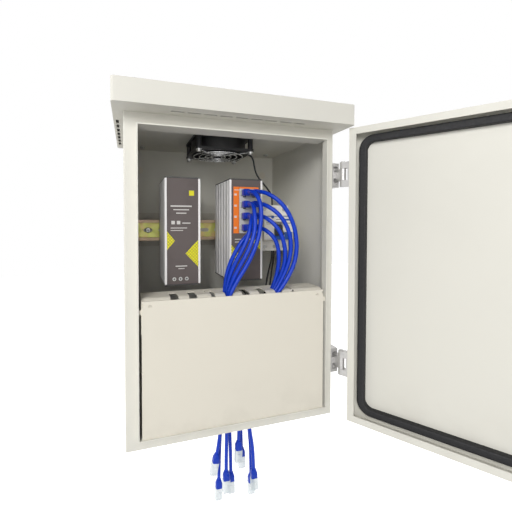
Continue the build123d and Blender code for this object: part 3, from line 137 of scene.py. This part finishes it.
wireRoutes = {
    "fan_cable": [(44.05, -110, 193.5), (55, -110, 193.5), (62, -109, 185.5), (64.5, -107.5, 174.5),
                  (67.5, -106.5, 163.5), (73.5, -107, 153), (81.5, -109, 143.5), (90, -110, 134),
                  (98, -109, 122.5), (98, -109, 106.75)],
    "supply_wire_line": [(99, -106, 27.25), (99, -106, 17.5), (94.5, -113, 9), (86, -124, -1),
                         (76.5, -138, -11), (69, -149, -24), (65, -152, -40), (62, -142, -55),
                         (59.5, -122, -63), (58, -96, -64), (58, -68, -60), (58, -42, -55),
                         (58, -24, -56), (58, -15, -62.5), (58, -15, -74)],
    "supply_wire_neutral": [(105.5, -100, 27.25), (105.5, -100, 17.5), (101, -108, 9), (93, -120, -1),
                            (84, -135, -11), (77, -147, -24), (73, -151, -40), (70.5, -142, -55),
                            (68.5, -122, -63), (68, -96, -64), (68, -68, -60), (68, -42, -55),
                            (68, -24, -56), (68, -15, -62.5), (68, -15, -74)],
}


def cordCurve(name, points, diameter):
    data = bpy.data.curves.new(name + "_look", "CURVE")
    data.dimensions = "3D"
    data.bevel_depth = 1.0  # times each point's own radius
    data.bevel_resolution = 5
    data.use_fill_caps = True
    spline = data.splines.new("NURBS")
    spline.points.add(len(points) - 1)
    for p, co in zip(spline.points, points):
        p.co = (co[0] * mm, co[1] * mm, co[2] * mm, 1)
        p.radius = diameter / 2 * mm
    spline.order_u = 3
    spline.use_endpoint_u = True
    spline.resolution_u = 10
    cord = bpy.data.objects.new(name + "_look", data)
    scene.collection.objects.link(cord)
    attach(cord, "cabinet")
    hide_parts(name)
    return cord


def centreLength(cord):
    plain = cord.data.copy()
    plain.bevel_depth = 0
    probe = bpy.data.objects.new("probe", plain)
    line = bpy.data.meshes.new_from_object(probe)
    points = [[line.vertices[i].co for i in edge.vertices] for edge in line.edges]
    total = sum((end - start).length for start, end in points)
    bpy.data.objects.remove(probe)
    return total


leads, wires = [], []
for name, route in leadRoutes.items():
    cord = cordCurve(name, route, cordSet["leadDiameter"])
    leads.append(cord)
for name, route in wireRoutes.items():
    cord = cordCurve(name, route, cordSet["wireDiameter"])
    centreLength(cord)
    wires.append(cord)

print("shader helpers")


class Sock:
    # a node's output; an expression on it adds its Math nodes
    def __init__(self, net, out):
        self.net = net
        self.out = out

    def calc(self, operation, *values):
        return self.net.node("ShaderNodeMath", {"operation": operation}, *values)

    def __add__(self, other):
        return self.calc("ADD", self, other)

    def __radd__(self, other):
        return self.calc("ADD", other, self)

    def __sub__(self, other):
        return self.calc("SUBTRACT", self, other)

    def __rsub__(self, other):
        return self.calc("SUBTRACT", other, self)

    def __mul__(self, other):
        return self.calc("MULTIPLY", self, other)

    def __rmul__(self, other):
        return self.calc("MULTIPLY", other, self)

    def __truediv__(self, other):
        return self.calc("DIVIDE", self, other)

    def __rtruediv__(self, other):
        return self.calc("DIVIDE", other, self)

    def __gt__(self, other):
        return self.calc("GREATER_THAN", self, other)

    def __lt__(self, other):
        return self.calc("LESS_THAN", self, other)

    def __abs__(self):
        return self.calc("ABSOLUTE", self)

    def most(self, other):
        return self.calc("MAXIMUM", self, other)

    def wrap(self, period):
        return self.calc("WRAP", self, period, 0.0)


class Net:
    def __init__(self, tree):
        self.tree = tree

    def node(self, kind, settings=None, *values, out=0, **named):
        # settings first, then the sockets in order and by name; out=None gives every output
        made = self.tree.nodes.new(kind)
        for key, value in (settings or {}).items():
            setattr(made, key, value)
        for index, value in enumerate(values):
            self.put(made.inputs[index], value)
        for key, value in named.items():
            self.put(made.inputs[key.replace("_", " ")], value)
        if out is None:
            return [Sock(self, each) for each in made.outputs]
        return Sock(self, made.outputs[out])

    def put(self, socket, value):
        if isinstance(value, Sock):
            self.tree.links.new(value.out, socket)
        elif value is not None:
            solid = socket.type == "RGBA" and len(value) == 3  # a colour gets its alpha
            socket.default_value = (*value, 1.0) if solid else value

    def surface(self, **named):
        shader = self.tree.nodes["Principled BSDF"]
        for key, value in named.items():
            self.put(shader.inputs[key.replace("_", " ")], value)

    def axes(self):
        return self.node("ShaderNodeSeparateXYZ", None, self.where, out=None)

    def noise(self, where, scale, detail=3.0):
        return self.node("ShaderNodeTexNoise", None, Vector=where, Scale=scale, Detail=detail,
                         Roughness=0.55)

    def stretch(self, value, low, high, to=(0.0, 1.0)):
        return self.node("ShaderNodeMapRange", {"interpolation_type": "SMOOTHSTEP"}, Value=value,
                         From_Min=low, From_Max=high, To_Min=to[0], To_Max=to[1])

    def vary(self, limits, scale, detail=3.0):
        # a value that drifts between two limits over the surface
        return self.stretch(self.noise(self.where, scale, detail), 0.3, 0.7, limits)

    def mix(self, mask, first, second):
        skipped = [None] * 5  # the sockets between the factor and the two colours
        return self.node("ShaderNodeMix", {"data_type": "RGBA"}, mask, *skipped, first, second, out=2)

    def times(self, vector, factors):
        return self.node("ShaderNodeVectorMath", {"operation": "MULTIPLY"}, vector, factors)

    def bump(self, scale, strength, distance):
        height = self.noise(self.where, scale, detail=2.0)
        self.surface(Normal=self.node("ShaderNodeBump", None, Strength=strength, Distance=distance,
                                      Height=height))

    def shown(self):
        # 1 for rays that are seen, straight, mirrored or through clear plastic, and 0 for the rest
        rays = [self.node("ShaderNodeLightPath", out=ray)
                for ray in ("Is Camera Ray", "Is Glossy Ray", "Is Transmission Ray")]
        return rays[0].most(rays[1]).most(rays[2])


def newFinish(name):
    material = bpy.data.materials.new(name)
    material.use_nodes = True
    net = Net(material.node_tree)
    net.material = material
    net.where = net.node("ShaderNodeTexCoord", out="Object")
    return net


def window(value, low, high):
    # 1 between two values, 0 outside
    return (value > low) * (value < high)


def patch(axes, x0, x1, z0, z1):
    return window(axes[0], x0 * mm, x1 * mm) * window(axes[2], z0 * mm, z1 * mm)


def wedge(axes, base, tip, middle, half):
    # a triangle with its foot at one x and its point at another
    run = (axes[0] - tip * mm) / ((base - tip) * mm)
    return (run > 0.0) * (run < 1.0) * (abs(axes[2] - middle * mm) < run * (half * mm))


def darker(color, share):
    return tuple(c * share for c in color)


def wear(net, color, dark, share, scale):
    # broad soft stains of a darker colour over a plain one
    blotch = net.stretch(net.noise(net.where, scale, detail=5.0), 0.45, 0.72, (0.0, share))
    return net.mix(blotch, color, dark)


print("materials")
coatSet = {
    "outside": {"color": (0.690, 0.675, 0.610), "dust": 0.10},
    # the hood is the outside paint made a little darker: painted shade on the hood's brightly lit top
    "hood": {"color": (0.670, 0.655, 0.595), "dust": 0.0},
    "inside": {"color": (0.700, 0.662, 0.572), "dust": 0.12},
    "grime": (0.330, 0.300, 0.250),
    "dustTop": -120.0,  # dust thickens from here down to the foot
    "dustFoot": -214.0,
    "roughness": (0.45, 0.62),
    "specular": 0.28,
    "peel": 900.0,  # scale of the powder coat's orange peel
    "peelDepth": 0.00012,
}


def coatMaterial(name, s):
    net = newFinish(name)
    color = s[name]["color"]
    tone = wear(net, color, darker(color, 0.94), share=0.5, scale=5.0)
    low = net.stretch(net.axes()[2], s["dustTop"] * mm, s["dustFoot"] * mm)
    dust = net.stretch(net.noise(net.where, scale=26.0, detail=6.0), 0.40, 0.70)
    tone = net.mix(low * dust * s[name]["dust"], tone, s["grime"])
    net.surface(Base_Color=tone, Specular_IOR_Level=s["specular"],
                Roughness=net.vary(s["roughness"], scale=60.0))
    net.bump(scale=s["peel"], strength=0.35, distance=s["peelDepth"])
    return net.material


# plain finishes: share and scale of the stains, depth of the grain
finishSet = {
    "zinc": {"color": (0.50, 0.50, 0.485), "roughness": 0.42, "metallic": 0.9, "share": 0.35, "scale": 90.0},
    "hinge": {"color": (0.52, 0.51, 0.50), "roughness": 0.42, "metallic": 0.55,
              "share": 0.30, "scale": 120.0, "grain": 0.00006},
    "chrome": {"color": (0.62, 0.62, 0.62), "roughness": 0.16, "metallic": 1.0, "share": 0.15, "scale": 70.0},
    "guard": {"color": (0.86, 0.86, 0.85), "roughness": 0.28, "metallic": 0.75, "share": 0.20, "scale": 90.0},
    "bracket": {"color": (0.600, 0.570, 0.500), "roughness": 0.50,
                "share": 0.25, "scale": 30.0, "grain": 0.00006},
    "darkPlastic": {"color": (0.035, 0.034, 0.034), "roughness": 0.48,
                    "share": 0.30, "scale": 70.0, "grain": 0.00005},
    "blackPlastic": {"color": (0.012, 0.012, 0.013), "roughness": 0.46,
                     "share": 0.30, "scale": 60.0, "grain": 0.00004},
    "rubber": {"color": (0.018, 0.018, 0.018), "roughness": 0.72,
               "share": 0.35, "scale": 80.0, "grain": 0.00015},
    "foam": {"color": (0.006, 0.006, 0.007), "roughness": 0.70,
             "share": 0.30, "scale": 120.0, "grain": 0.00020},
    "wire": {"color": (0.012, 0.012, 0.013), "roughness": 0.40, "share": 0.20, "scale": 60.0},
    "button": {"color": (0.030, 0.100, 0.330), "roughness": 0.38, "share": 0.15, "scale": 60.0},
    "toggle": {"color": (0.045, 0.048, 0.052), "roughness": 0.36, "share": 0.20, "scale": 60.0},
    "board": {"color": (0.020, 0.110, 0.055), "roughness": 0.45, "share": 0.30, "scale": 50.0, "coat": 0.2},
    "copper": {"color": (0.62, 0.46, 0.20), "roughness": 0.30, "metallic": 1.0, "share": 0.30, "scale": 80.0},
    "gold": {"color": (0.80, 0.58, 0.22), "roughness": 0.22, "metallic": 1.0, "share": 0.10, "scale": 80.0},
    # near-black painted shade for the cross recesses of the small screws
    "paintedRecessShade": {"color": (0.010, 0.010, 0.010), "roughness": 0.60, "share": 0.0, "scale": 60.0},
    "ceramic": {"color": (0.70, 0.70, 0.67), "roughness": 0.42, "share": 0.15, "scale": 60.0},
}


def plainMaterial(name, color, roughness, share, scale, metallic=0.0, grain=0.0, coat=0.0):
    net = newFinish(name)
    net.surface(Base_Color=wear(net, color, darker(color, 0.6), share, scale),
                Roughness=net.vary((roughness - 0.06, roughness + 0.08), scale * 4),
                Metallic=metallic, Coat_Weight=coat)
    if grain:
        net.bump(scale=1500.0, strength=0.4, distance=grain)
    return net.material


finish = {name: plainMaterial(name, **s) for name, s in finishSet.items()}
for name in ("outside", "hood", "inside"):
    finish[name] = coatMaterial(name, coatSet)

leadSet = {
    "lead": (0.002, 0.040, 0.470),
    "boot": (0.002, 0.036, 0.420),
    "roughness": (0.27, 0.42),
    "specular": 0.28,
}


def leadMaterial(name, s):
    net = newFinish(name)
    net.surface(Base_Color=wear(net, s[name], darker(s[name], 0.7), share=0.35, scale=30.0),
                Specular_IOR_Level=s["specular"],
                Roughness=net.vary(s["roughness"], scale=90.0, detail=2.0))
    return net.material


for name in ("lead", "boot"):
    finish[name] = leadMaterial(name, leadSet)

clearSet = {"color": (0.70, 0.76, 0.78), "roughness": (0.12, 0.27), "alpha": 0.55, "bend": 1.5}


def clearMaterial(s):
    net = newFinish("clearPlastic")
    net.surface(Base_Color=s["color"], Alpha=s["alpha"], IOR=s["bend"],
                Roughness=net.vary(s["roughness"], scale=200.0))
    return net.material


finish["clear"] = clearMaterial(clearSet)

housingSet = {
    "metal": (0.700, 0.690, 0.680),
    # painted highlight colour on the front ribs, lighter than the metal
    "rib": (0.780, 0.760, 0.750),
    "ribBand": 3.1,  # width of the front ribs, seen from the front
    "past": 1.0,  # how far their colour goes past the casing's sides
    "ribBack": -155.5,  # where the ribs end behind the front
    "metallic": 0.12,
    "roughness": (0.34, 0.52),
    "grain": (2600.0, 2600.0, 30.0),  # drawn lines run along the height
}


def housingMaterial(name, s, casing):
    # light grey anodised metal, with a painted highlight on its front ribs
    net = newFinish(name)
    axes = net.axes()
    left, right = [corner[0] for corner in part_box(casing)]
    band, past = s["ribBand"] * mm, s["past"] * mm
    rib = window(axes[0], left - past, left + band).most(window(axes[0], right - band, right + past))
    tone = wear(net, s["metal"], darker(s["metal"], 0.7), share=0.4, scale=24.0)
    # the front ribs get the painted highlight
    tone = net.mix(rib * (axes[1] < s["ribBack"] * mm), tone, s["rib"])
    grain = net.noise(net.times(net.where, s["grain"]), scale=1.0, detail=2.0)
    net.surface(Base_Color=tone, Metallic=s["metallic"],
                Roughness=net.stretch(grain, 0.3, 0.7, s["roughness"]))
    return net.material


finish["psuHousing"] = housingMaterial("psuHousing", housingSet, "psu_casing")
finish["switchHousing"] = housingMaterial("switchHousing", housingSet, "switch_casing")

panelSet = {
    "face": (0.105, 0.086, 0.082),
    "shade": (0.080, 0.066, 0.063),
    "pale": (0.640, 0.620, 0.590),
    "yellow": (0.740, 0.690, 0.012),
    "orange": (0.800, 0.185, 0.022),
    "ink": 0.85,  # how well the printed blocks cover
    "grid": 4.6,  # pitch and width of the thin lines across the yellow wedges
    "line": 0.6,
    "roughness": (0.36, 0.52),
    "specular": 0.3,
}

# blocks and areas: left, right, bottom, top; wedges: foot, point, middle height, half height
psuPanelSet = {
    "areas": [],
    "wedges": [(-91.4, -80.0, 50.0, 14.0), (-45.4, -64.5, 31.0, 20.0)],
    "blocks": {
        "yellow": [(-59.0, -51.5, 116.0, 123.5)],
        "pale": [(-86.0, -55.0, 99.5, 101.5), (-82.0, -59.0, 94.5, 96.0), (-78.0, -63.0, 89.5, 91.0),
                 (-85.0, -80.0, 74.0, 79.0), (-77.0, -72.0, 74.0, 79.0), (-69.0, -57.0, 75.0, 76.5),
                 (-86.0, -62.0, 68.0, 69.2), (-86.0, -68.0, 64.5, 65.5), (-79.0, -62.0, 12.0, 13.5),
                 (-75.0, -66.0, 8.5, 9.6)],
    },
}

switchPanelSet = {
    "areas": [(9.7, 50.0, 60.0, 131.5)],
    "wedges": [(6.3, 22.5, 24.0, 18.5), (54.1, 42.0, 46.0, 13.0)],
    "blocks": {
        "pale": [(11.0, 46.0, 126.0, 127.2), (11.0, 15.0, 118.0, 121.0), (11.0, 15.0, 101.0, 104.0),
                 (11.0, 15.0, 84.0, 87.0), (11.0, 15.0, 67.0, 70.0), (12.0, 40.0, 50.0, 51.4),
                 (12.0, 34.0, 46.0, 47.2)],
    },
}


def panelMaterial(name, s, layout):
    net = newFinish(name)
    axes = net.axes()
    tone = wear(net, s["face"], s["shade"], share=0.6, scale=26.0)
    for area in layout["areas"]:
        tone = net.mix(patch(axes, *area), tone, s["orange"])
    period, line = s["grid"] * mm, s["line"] * mm  # thin lines on both diagonals
    squares = ((axes[0] + axes[2]).wrap(period) > line) * ((axes[0] - axes[2]).wrap(period) > line)
    for area in layout["wedges"]:
        tone = net.mix(wedge(axes, *area) * squares, tone, s["yellow"])
    for color, places in layout["blocks"].items():
        for area in places:
            tone = net.mix(patch(axes, *area) * s["ink"], tone, s[color])
    net.surface(Base_Color=tone, Specular_IOR_Level=s["specular"],
                Roughness=net.vary(s["roughness"], scale=70.0))
    return net.material


finish["psuPanel"] = panelMaterial("psuPanel", panelSet, psuPanelSet)
finish["switchPanel"] = panelMaterial("switchPanel", panelSet, switchPanelSet)

railSet = {
    "zinc": (0.58, 0.60, 0.16),
    "tint": (0.66, 0.48, 0.22),
    "lip": (0.40, 0.27, 0.20),
    "lipShare": 0.9,
    "lipStart": 12.5,  # from the rail's middle line
    "metallic": 0.45,
    "roughness": (0.30, 0.46),
}


def railMaterial(s):
    # yellow passivated zinc, browner along the bent lips
    net = newFinish("railZinc")
    middle = sum(corner[2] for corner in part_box("din_rail")) / 2
    cloud = net.stretch(net.noise(net.where, scale=55.0, detail=4.0), 0.42, 0.66)
    tone = net.mix(cloud, s["zinc"], s["tint"])
    lip = abs(net.axes()[2] - middle) > s["lipStart"] * mm
    tone = net.mix(lip * s["lipShare"], tone, s["lip"])
    net.surface(Base_Color=tone, Metallic=s["metallic"],
                Roughness=net.vary(s["roughness"], scale=120.0))
    return net.material


finish["rail"] = railMaterial(railSet)

portSet = {
    "orange": (0.800, 0.185, 0.022),
    "inner": (0.030, 0.030, 0.032),
    "shield": (0.480, 0.475, 0.470),
    "shieldArea": (18.3, 50.0, 60.0, 128.6),
    "skin": 0.6,  # only the front face has these colours, the mouths behind it are dark
    "roughness": (0.34, 0.48),
}


def portMaterial(s):
    net = newFinish("portBlock")
    axes = net.axes()
    front = axes[1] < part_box("switch_port_block")[0][1] + s["skin"] * mm
    tone = net.mix(front, s["inner"], s["orange"])
    tone = net.mix(patch(axes, *s["shieldArea"]) * front, tone, s["shield"])
    net.surface(Base_Color=tone, Roughness=net.vary(s["roughness"], scale=90.0))
    return net.material


finish["portBlock"] = portMaterial(portSet)

breakerSet = {
    "white": (0.800, 0.775, 0.720),
    "shadow": (0.420, 0.425, 0.430),
    "blue": (0.020, 0.090, 0.360),
    "blueAreas": [(75.0, 91.0, 86.2, 87.8), (93.0, 109.0, 86.2, 87.8), (111.0, 127.0, 86.2, 87.8),
                  (93.5, 108.5, 46.5, 57.5), (111.5, 127.0, 46.5, 60.5), (111.5, 127.0, 80.0, 83.0)],
    "ink": (0.060, 0.065, 0.075),
    "inkShare": 0.8,
    "inkAreas": [(78.0, 88.0, 76.5, 77.6), (78.0, 86.0, 73.8, 74.6), (78.0, 84.0, 56.5, 57.4),
                 (112.5, 124.0, 75.0, 76.2), (112.5, 120.0, 71.5, 72.4), (112.5, 122.0, 57.0, 58.0),
                 (96.0, 106.0, 81.0, 82.2)],
    "printBack": -110.5,  # nothing is printed behind this
    "roughness": (0.34, 0.48),
}


def breakerMaterial(s):
    net = newFinish("breakerWhite")
    axes = net.axes()
    front = axes[1] < s["printBack"] * mm
    tone = wear(net, s["white"], s["shadow"], share=0.3, scale=22.0)
    for area in s["blueAreas"]:
        tone = net.mix(patch(axes, *area) * front, tone, s["blue"])
    for area in s["inkAreas"]:
        tone = net.mix(patch(axes, *area) * front * s["inkShare"], tone, s["ink"])
    net.surface(Base_Color=tone, Roughness=net.vary(s["roughness"], scale=80.0))
    return net.material


finish["breaker"] = breakerMaterial(breakerSet)

finishNodes = {
    "outside": ["cabinet_body", "door_shell"],
    "hood": ["rain_hood"],
    "inside": ["cable_comb", "lower_cover"],
    "foam": ["door_gasket"],
    "hinge": ["hinge_body_leaves", "hinge_door_leaves"],
    "chrome": ["lock_body", "lock_spindle"],
    "zinc": ["hood_screws", "hinge_pins", "hinge_body_screws", "hinge_door_screws", "lock_nut", "lock_cam",
             "lock_cam_bolt", "rail_screws", "psu_terminal_screws", "psu_rail_clip", "switch_rail_clip",
             "breaker_terminal_screws", "fan_screws", "comb_screws"],
    "bracket": ["rail_bracket", "bracket_nuts"],
    "rail": ["din_rail"],
    "psuHousing": ["psu_casing"],
    "psuPanel": ["psu_front_panel"],
    "switchHousing": ["switch_casing"],
    "switchPanel": ["switch_front_panel"],
    "portBlock": ["switch_port_block"],
    "darkPlastic": ["psu_end_caps", "switch_end_caps"],
    "board": ["psu_board", "switch_board"],
    "clear": ["port_plugs", "field_plugs"],
    "boot": ["lead_boots"],
    "breaker": ["breaker_body"],
    "toggle": ["breaker_toggle"],
    "button": ["breaker_test_button"],
    "blackPlastic": ["breaker_rail_latch", "fan_frame", "fan_impeller"],
    "guard": ["fan_guard"],
    "rubber": ["cable_grommet"],
    "ceramic": ["terminal_block"],
    "copper": ["earth_stud"],
}
for which, keys in finishNodes.items():
    for key in keys:
        nodes[key].data.materials.clear()
        nodes[key].data.materials.append(finish[which])
for cord in leads:
    cord.data.materials.append(finish["lead"])
for cord in wires:
    cord.data.materials.append(finish["wire"])

print("edges")
# how wide each piece's edges are rounded, in mm
edgeSet = {
    0.2: ["din_rail", "psu_front_panel", "switch_front_panel", "switch_port_block"],
    0.25: ["cable_comb", "port_plugs", "field_plugs"],
    0.3: ["lower_cover", "rail_bracket", "psu_casing", "switch_casing", "lock_nut", "lock_cam",
          "breaker_toggle", "earth_stud"],
    0.35: ["cabinet_body", "door_shell", "breaker_body"],
    0.4: ["hinge_body_leaves", "hinge_door_leaves", "terminal_block"],
    0.45: ["rain_hood"],
    0.5: ["psu_end_caps", "switch_end_caps"],
}
leastAngle = math.radians(40)  # flatter corners than this stay as they are
for width, keys in edgeSet.items():
    for key in keys:
        edge = nodes[key].modifiers.new("edge", "BEVEL")
        edge.width = width * mm
        edge.segments = 2
        edge.limit_method = "ANGLE"
        edge.angle_limit = leastAngle

print("small pieces")


def meshPiece(name, verts, faces, which, body):
    data = bpy.data.meshes.new(name)
    data.from_pydata(verts, [], faces)
    data.update()
    piece = bpy.data.objects.new(name, data)
    scene.collection.objects.link(piece)
    data.materials.append(finish[which])
    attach(piece, body)


def boxes(name, centres, size, which, body):
    verts, faces = [], []
    quads = [(0, 1, 3, 2), (4, 6, 7, 5), (0, 4, 5, 1), (2, 3, 7, 6), (0, 2, 6, 4), (1, 5, 7, 3)]
    corners = [Vector((x * size[0], y * size[1], z * size[2]))
               for x in (-0.5, 0.5) for y in (-0.5, 0.5) for z in (-0.5, 0.5)]
    for centre in centres:
        base = len(verts)
        verts += [(Vector(centre) + corner) * mm for corner in corners]
        faces += [tuple(base + i for i in quad) for quad in quads]
    meshPiece(name, verts, faces, which, body)


# cross recesses on the heads of small screws, drawn as thin near-black boxes of painted shade: how wide they
# span, and where
crossSet = {
    "width": 0.9,
    "deep": 0.12,
    "heads": {
        "psu_screw_cross": (3.4, [(x, -160.68, -5.9) for x in (-81.0, -71.9, -62.8)]),
        "rail_screw_cross": (5.0, [(x, -63.55, 63.5) for x in (-112.5, 112.5)]),
    },
}


def screwCrosses(s):
    for name, (span, places) in s["heads"].items():
        boxes(name + "_1", places, (span, s["deep"], s["width"]), "paintedRecessShade", "cabinet")
        boxes(name + "_2", places, (s["width"], s["deep"], span), "paintedRecessShade", "cabinet")


screwCrosses(crossSet)

jackSet = {
    "columns": (27.0, 42.0),
    "rows": (122.1, 104.4, 86.7, 69.0),
    "contacts": 8,
    "contactPitch": 1.02,
    "contactSize": (0.35, 5.5, 0.5),
    "contactY": -147.5,
    "contactRise": 3.95,  # above the jack's middle
    "lampSize": (1.6, 0.25, 1.0),
    "lampX": 20.6,
    "lampY": -161.0,
    "lampRise": 4.4,
}


def jackContacts(s):
    centres = []
    for x in s["columns"]:
        for z in s["rows"]:
            for i in range(s["contacts"]):
                across = (i - (s["contacts"] - 1) / 2) * s["contactPitch"]
                centres.append((x + across, s["contactY"], z + s["contactRise"]))
    boxes("port_contacts", centres, s["contactSize"], "gold", "cabinet")


def jackLamps(s):
    centres = [(s["lampX"], s["lampY"], z + s["lampRise"]) for z in s["rows"]]
    boxes("port_lamps", centres, s["lampSize"], "ceramic", "cabinet")


jackContacts(jackSet)

blankSet = {
    "places": [(x, z) for x in (-125.0, 125.0) for z in (-175.0, 175.0)],
    "wallFace": -1.5,
    "radius": 7.0,
    "deep": 0.6,
    "sides": 32,
}


def holeBlanks(s):
    # thin round blanks pressed over the wall holes from inside
    verts, faces = [], []
    n = s["sides"]
    for x, z in s["places"]:
        base = len(verts)
        for y in (s["wallFace"], s["wallFace"] - s["deep"]):
            for i in range(n):
                turn = 2 * math.pi * i / n
                out, up = s["radius"] * math.cos(turn), s["radius"] * math.sin(turn)
                verts.append(Vector((x + out, y, z + up)) * mm)
        faces.append(tuple(base + n + i for i in range(n)))
        faces.append(tuple(base + i for i in reversed(range(n))))
        for i in range(n):
            after = (i + 1) % n
            faces.append((base + i, base + after, base + n + after, base + n + i))
    meshPiece("wall_hole_blanks", verts, faces, "inside", "cabinet")


holeBlanks(blankSet)
jackLamps(jackSet)

print("light and floor")
lampSet = {
    "key": {"place": (-0.85, -1.6, 0.75), "aim": (0.0, -0.1, 0.0), "size": 0.7, "power": 20.5},
    "fill": {"place": (-0.5, -1.9, 0.15), "aim": (0.0, -0.1, 0.0), "size": 1.0, "power": 7.0},
    "rim": {"place": (0.1, 1.4, 1.4), "aim": (0.0, 0.0, 0.1), "size": 1.2, "power": 19.0},
    "left": {"place": (-1.6, 0.35, 0.4), "aim": (-0.15, -0.1, 0.0), "size": 1.0, "power": 11.0},
    "right": {"place": (1.7, 0.10, 0.4), "aim": (0.15, -0.1, 0.0), "size": 1.0, "power": 12.0},
}
for name, s in lampSet.items():
    lampData = bpy.data.lights.new(name, "AREA")
    lampData.size = s["size"]
    lampData.energy = s["power"]
    lamp = bpy.data.objects.new(name, lampData)
    scene.collection.objects.link(lamp)
    lamp.location = s["place"]
    lamp.rotation_euler = (Vector(s["aim"]) - Vector(s["place"])).to_track_quat("-Z", "Y").to_euler()

skySet = {"color": (1.0, 1.0, 1.0), "light": 0.27, "seen": 1.0}  # how bright it lights, and looks


def makeSky(s):
    world = bpy.data.worlds.new("studio")
    scene.world = world
    world.use_nodes = True
    net = Net(world.node_tree)
    background = world.node_tree.nodes["Background"]
    net.put(background.inputs["Color"], s["color"])
    net.put(background.inputs["Strength"], s["light"] + net.shown() * (s["seen"] - s["light"]))


makeSky(skySet)

floorSet = {
    "height": -0.62,
    "half": 4.0,
    "color": (0.60, 0.60, 0.60),
    "roughness": 0.9,
    "glow": 0.84,  # lifts the floor to the sky's white, for what is seen only
}


def makeFloor(s):
    half, z = s["half"], s["height"]
    corners = [(-half, -half, z), (half, -half, z), (half, half, z), (-half, half, z)]
    data = bpy.data.meshes.new("floor")
    data.from_pydata(corners, [], [(0, 1, 2, 3)])
    floor = bpy.data.objects.new("floor", data)
    scene.collection.objects.link(floor)
    net = newFinish("floor")
    net.surface(Base_Color=s["color"], Roughness=s["roughness"], Emission_Color=(1.0, 1.0, 1.0),
                Emission_Strength=net.shown() * s["glow"])
    data.materials.append(net.material)


makeFloor(floorSet)
scene.view_settings.view_transform = "Standard"
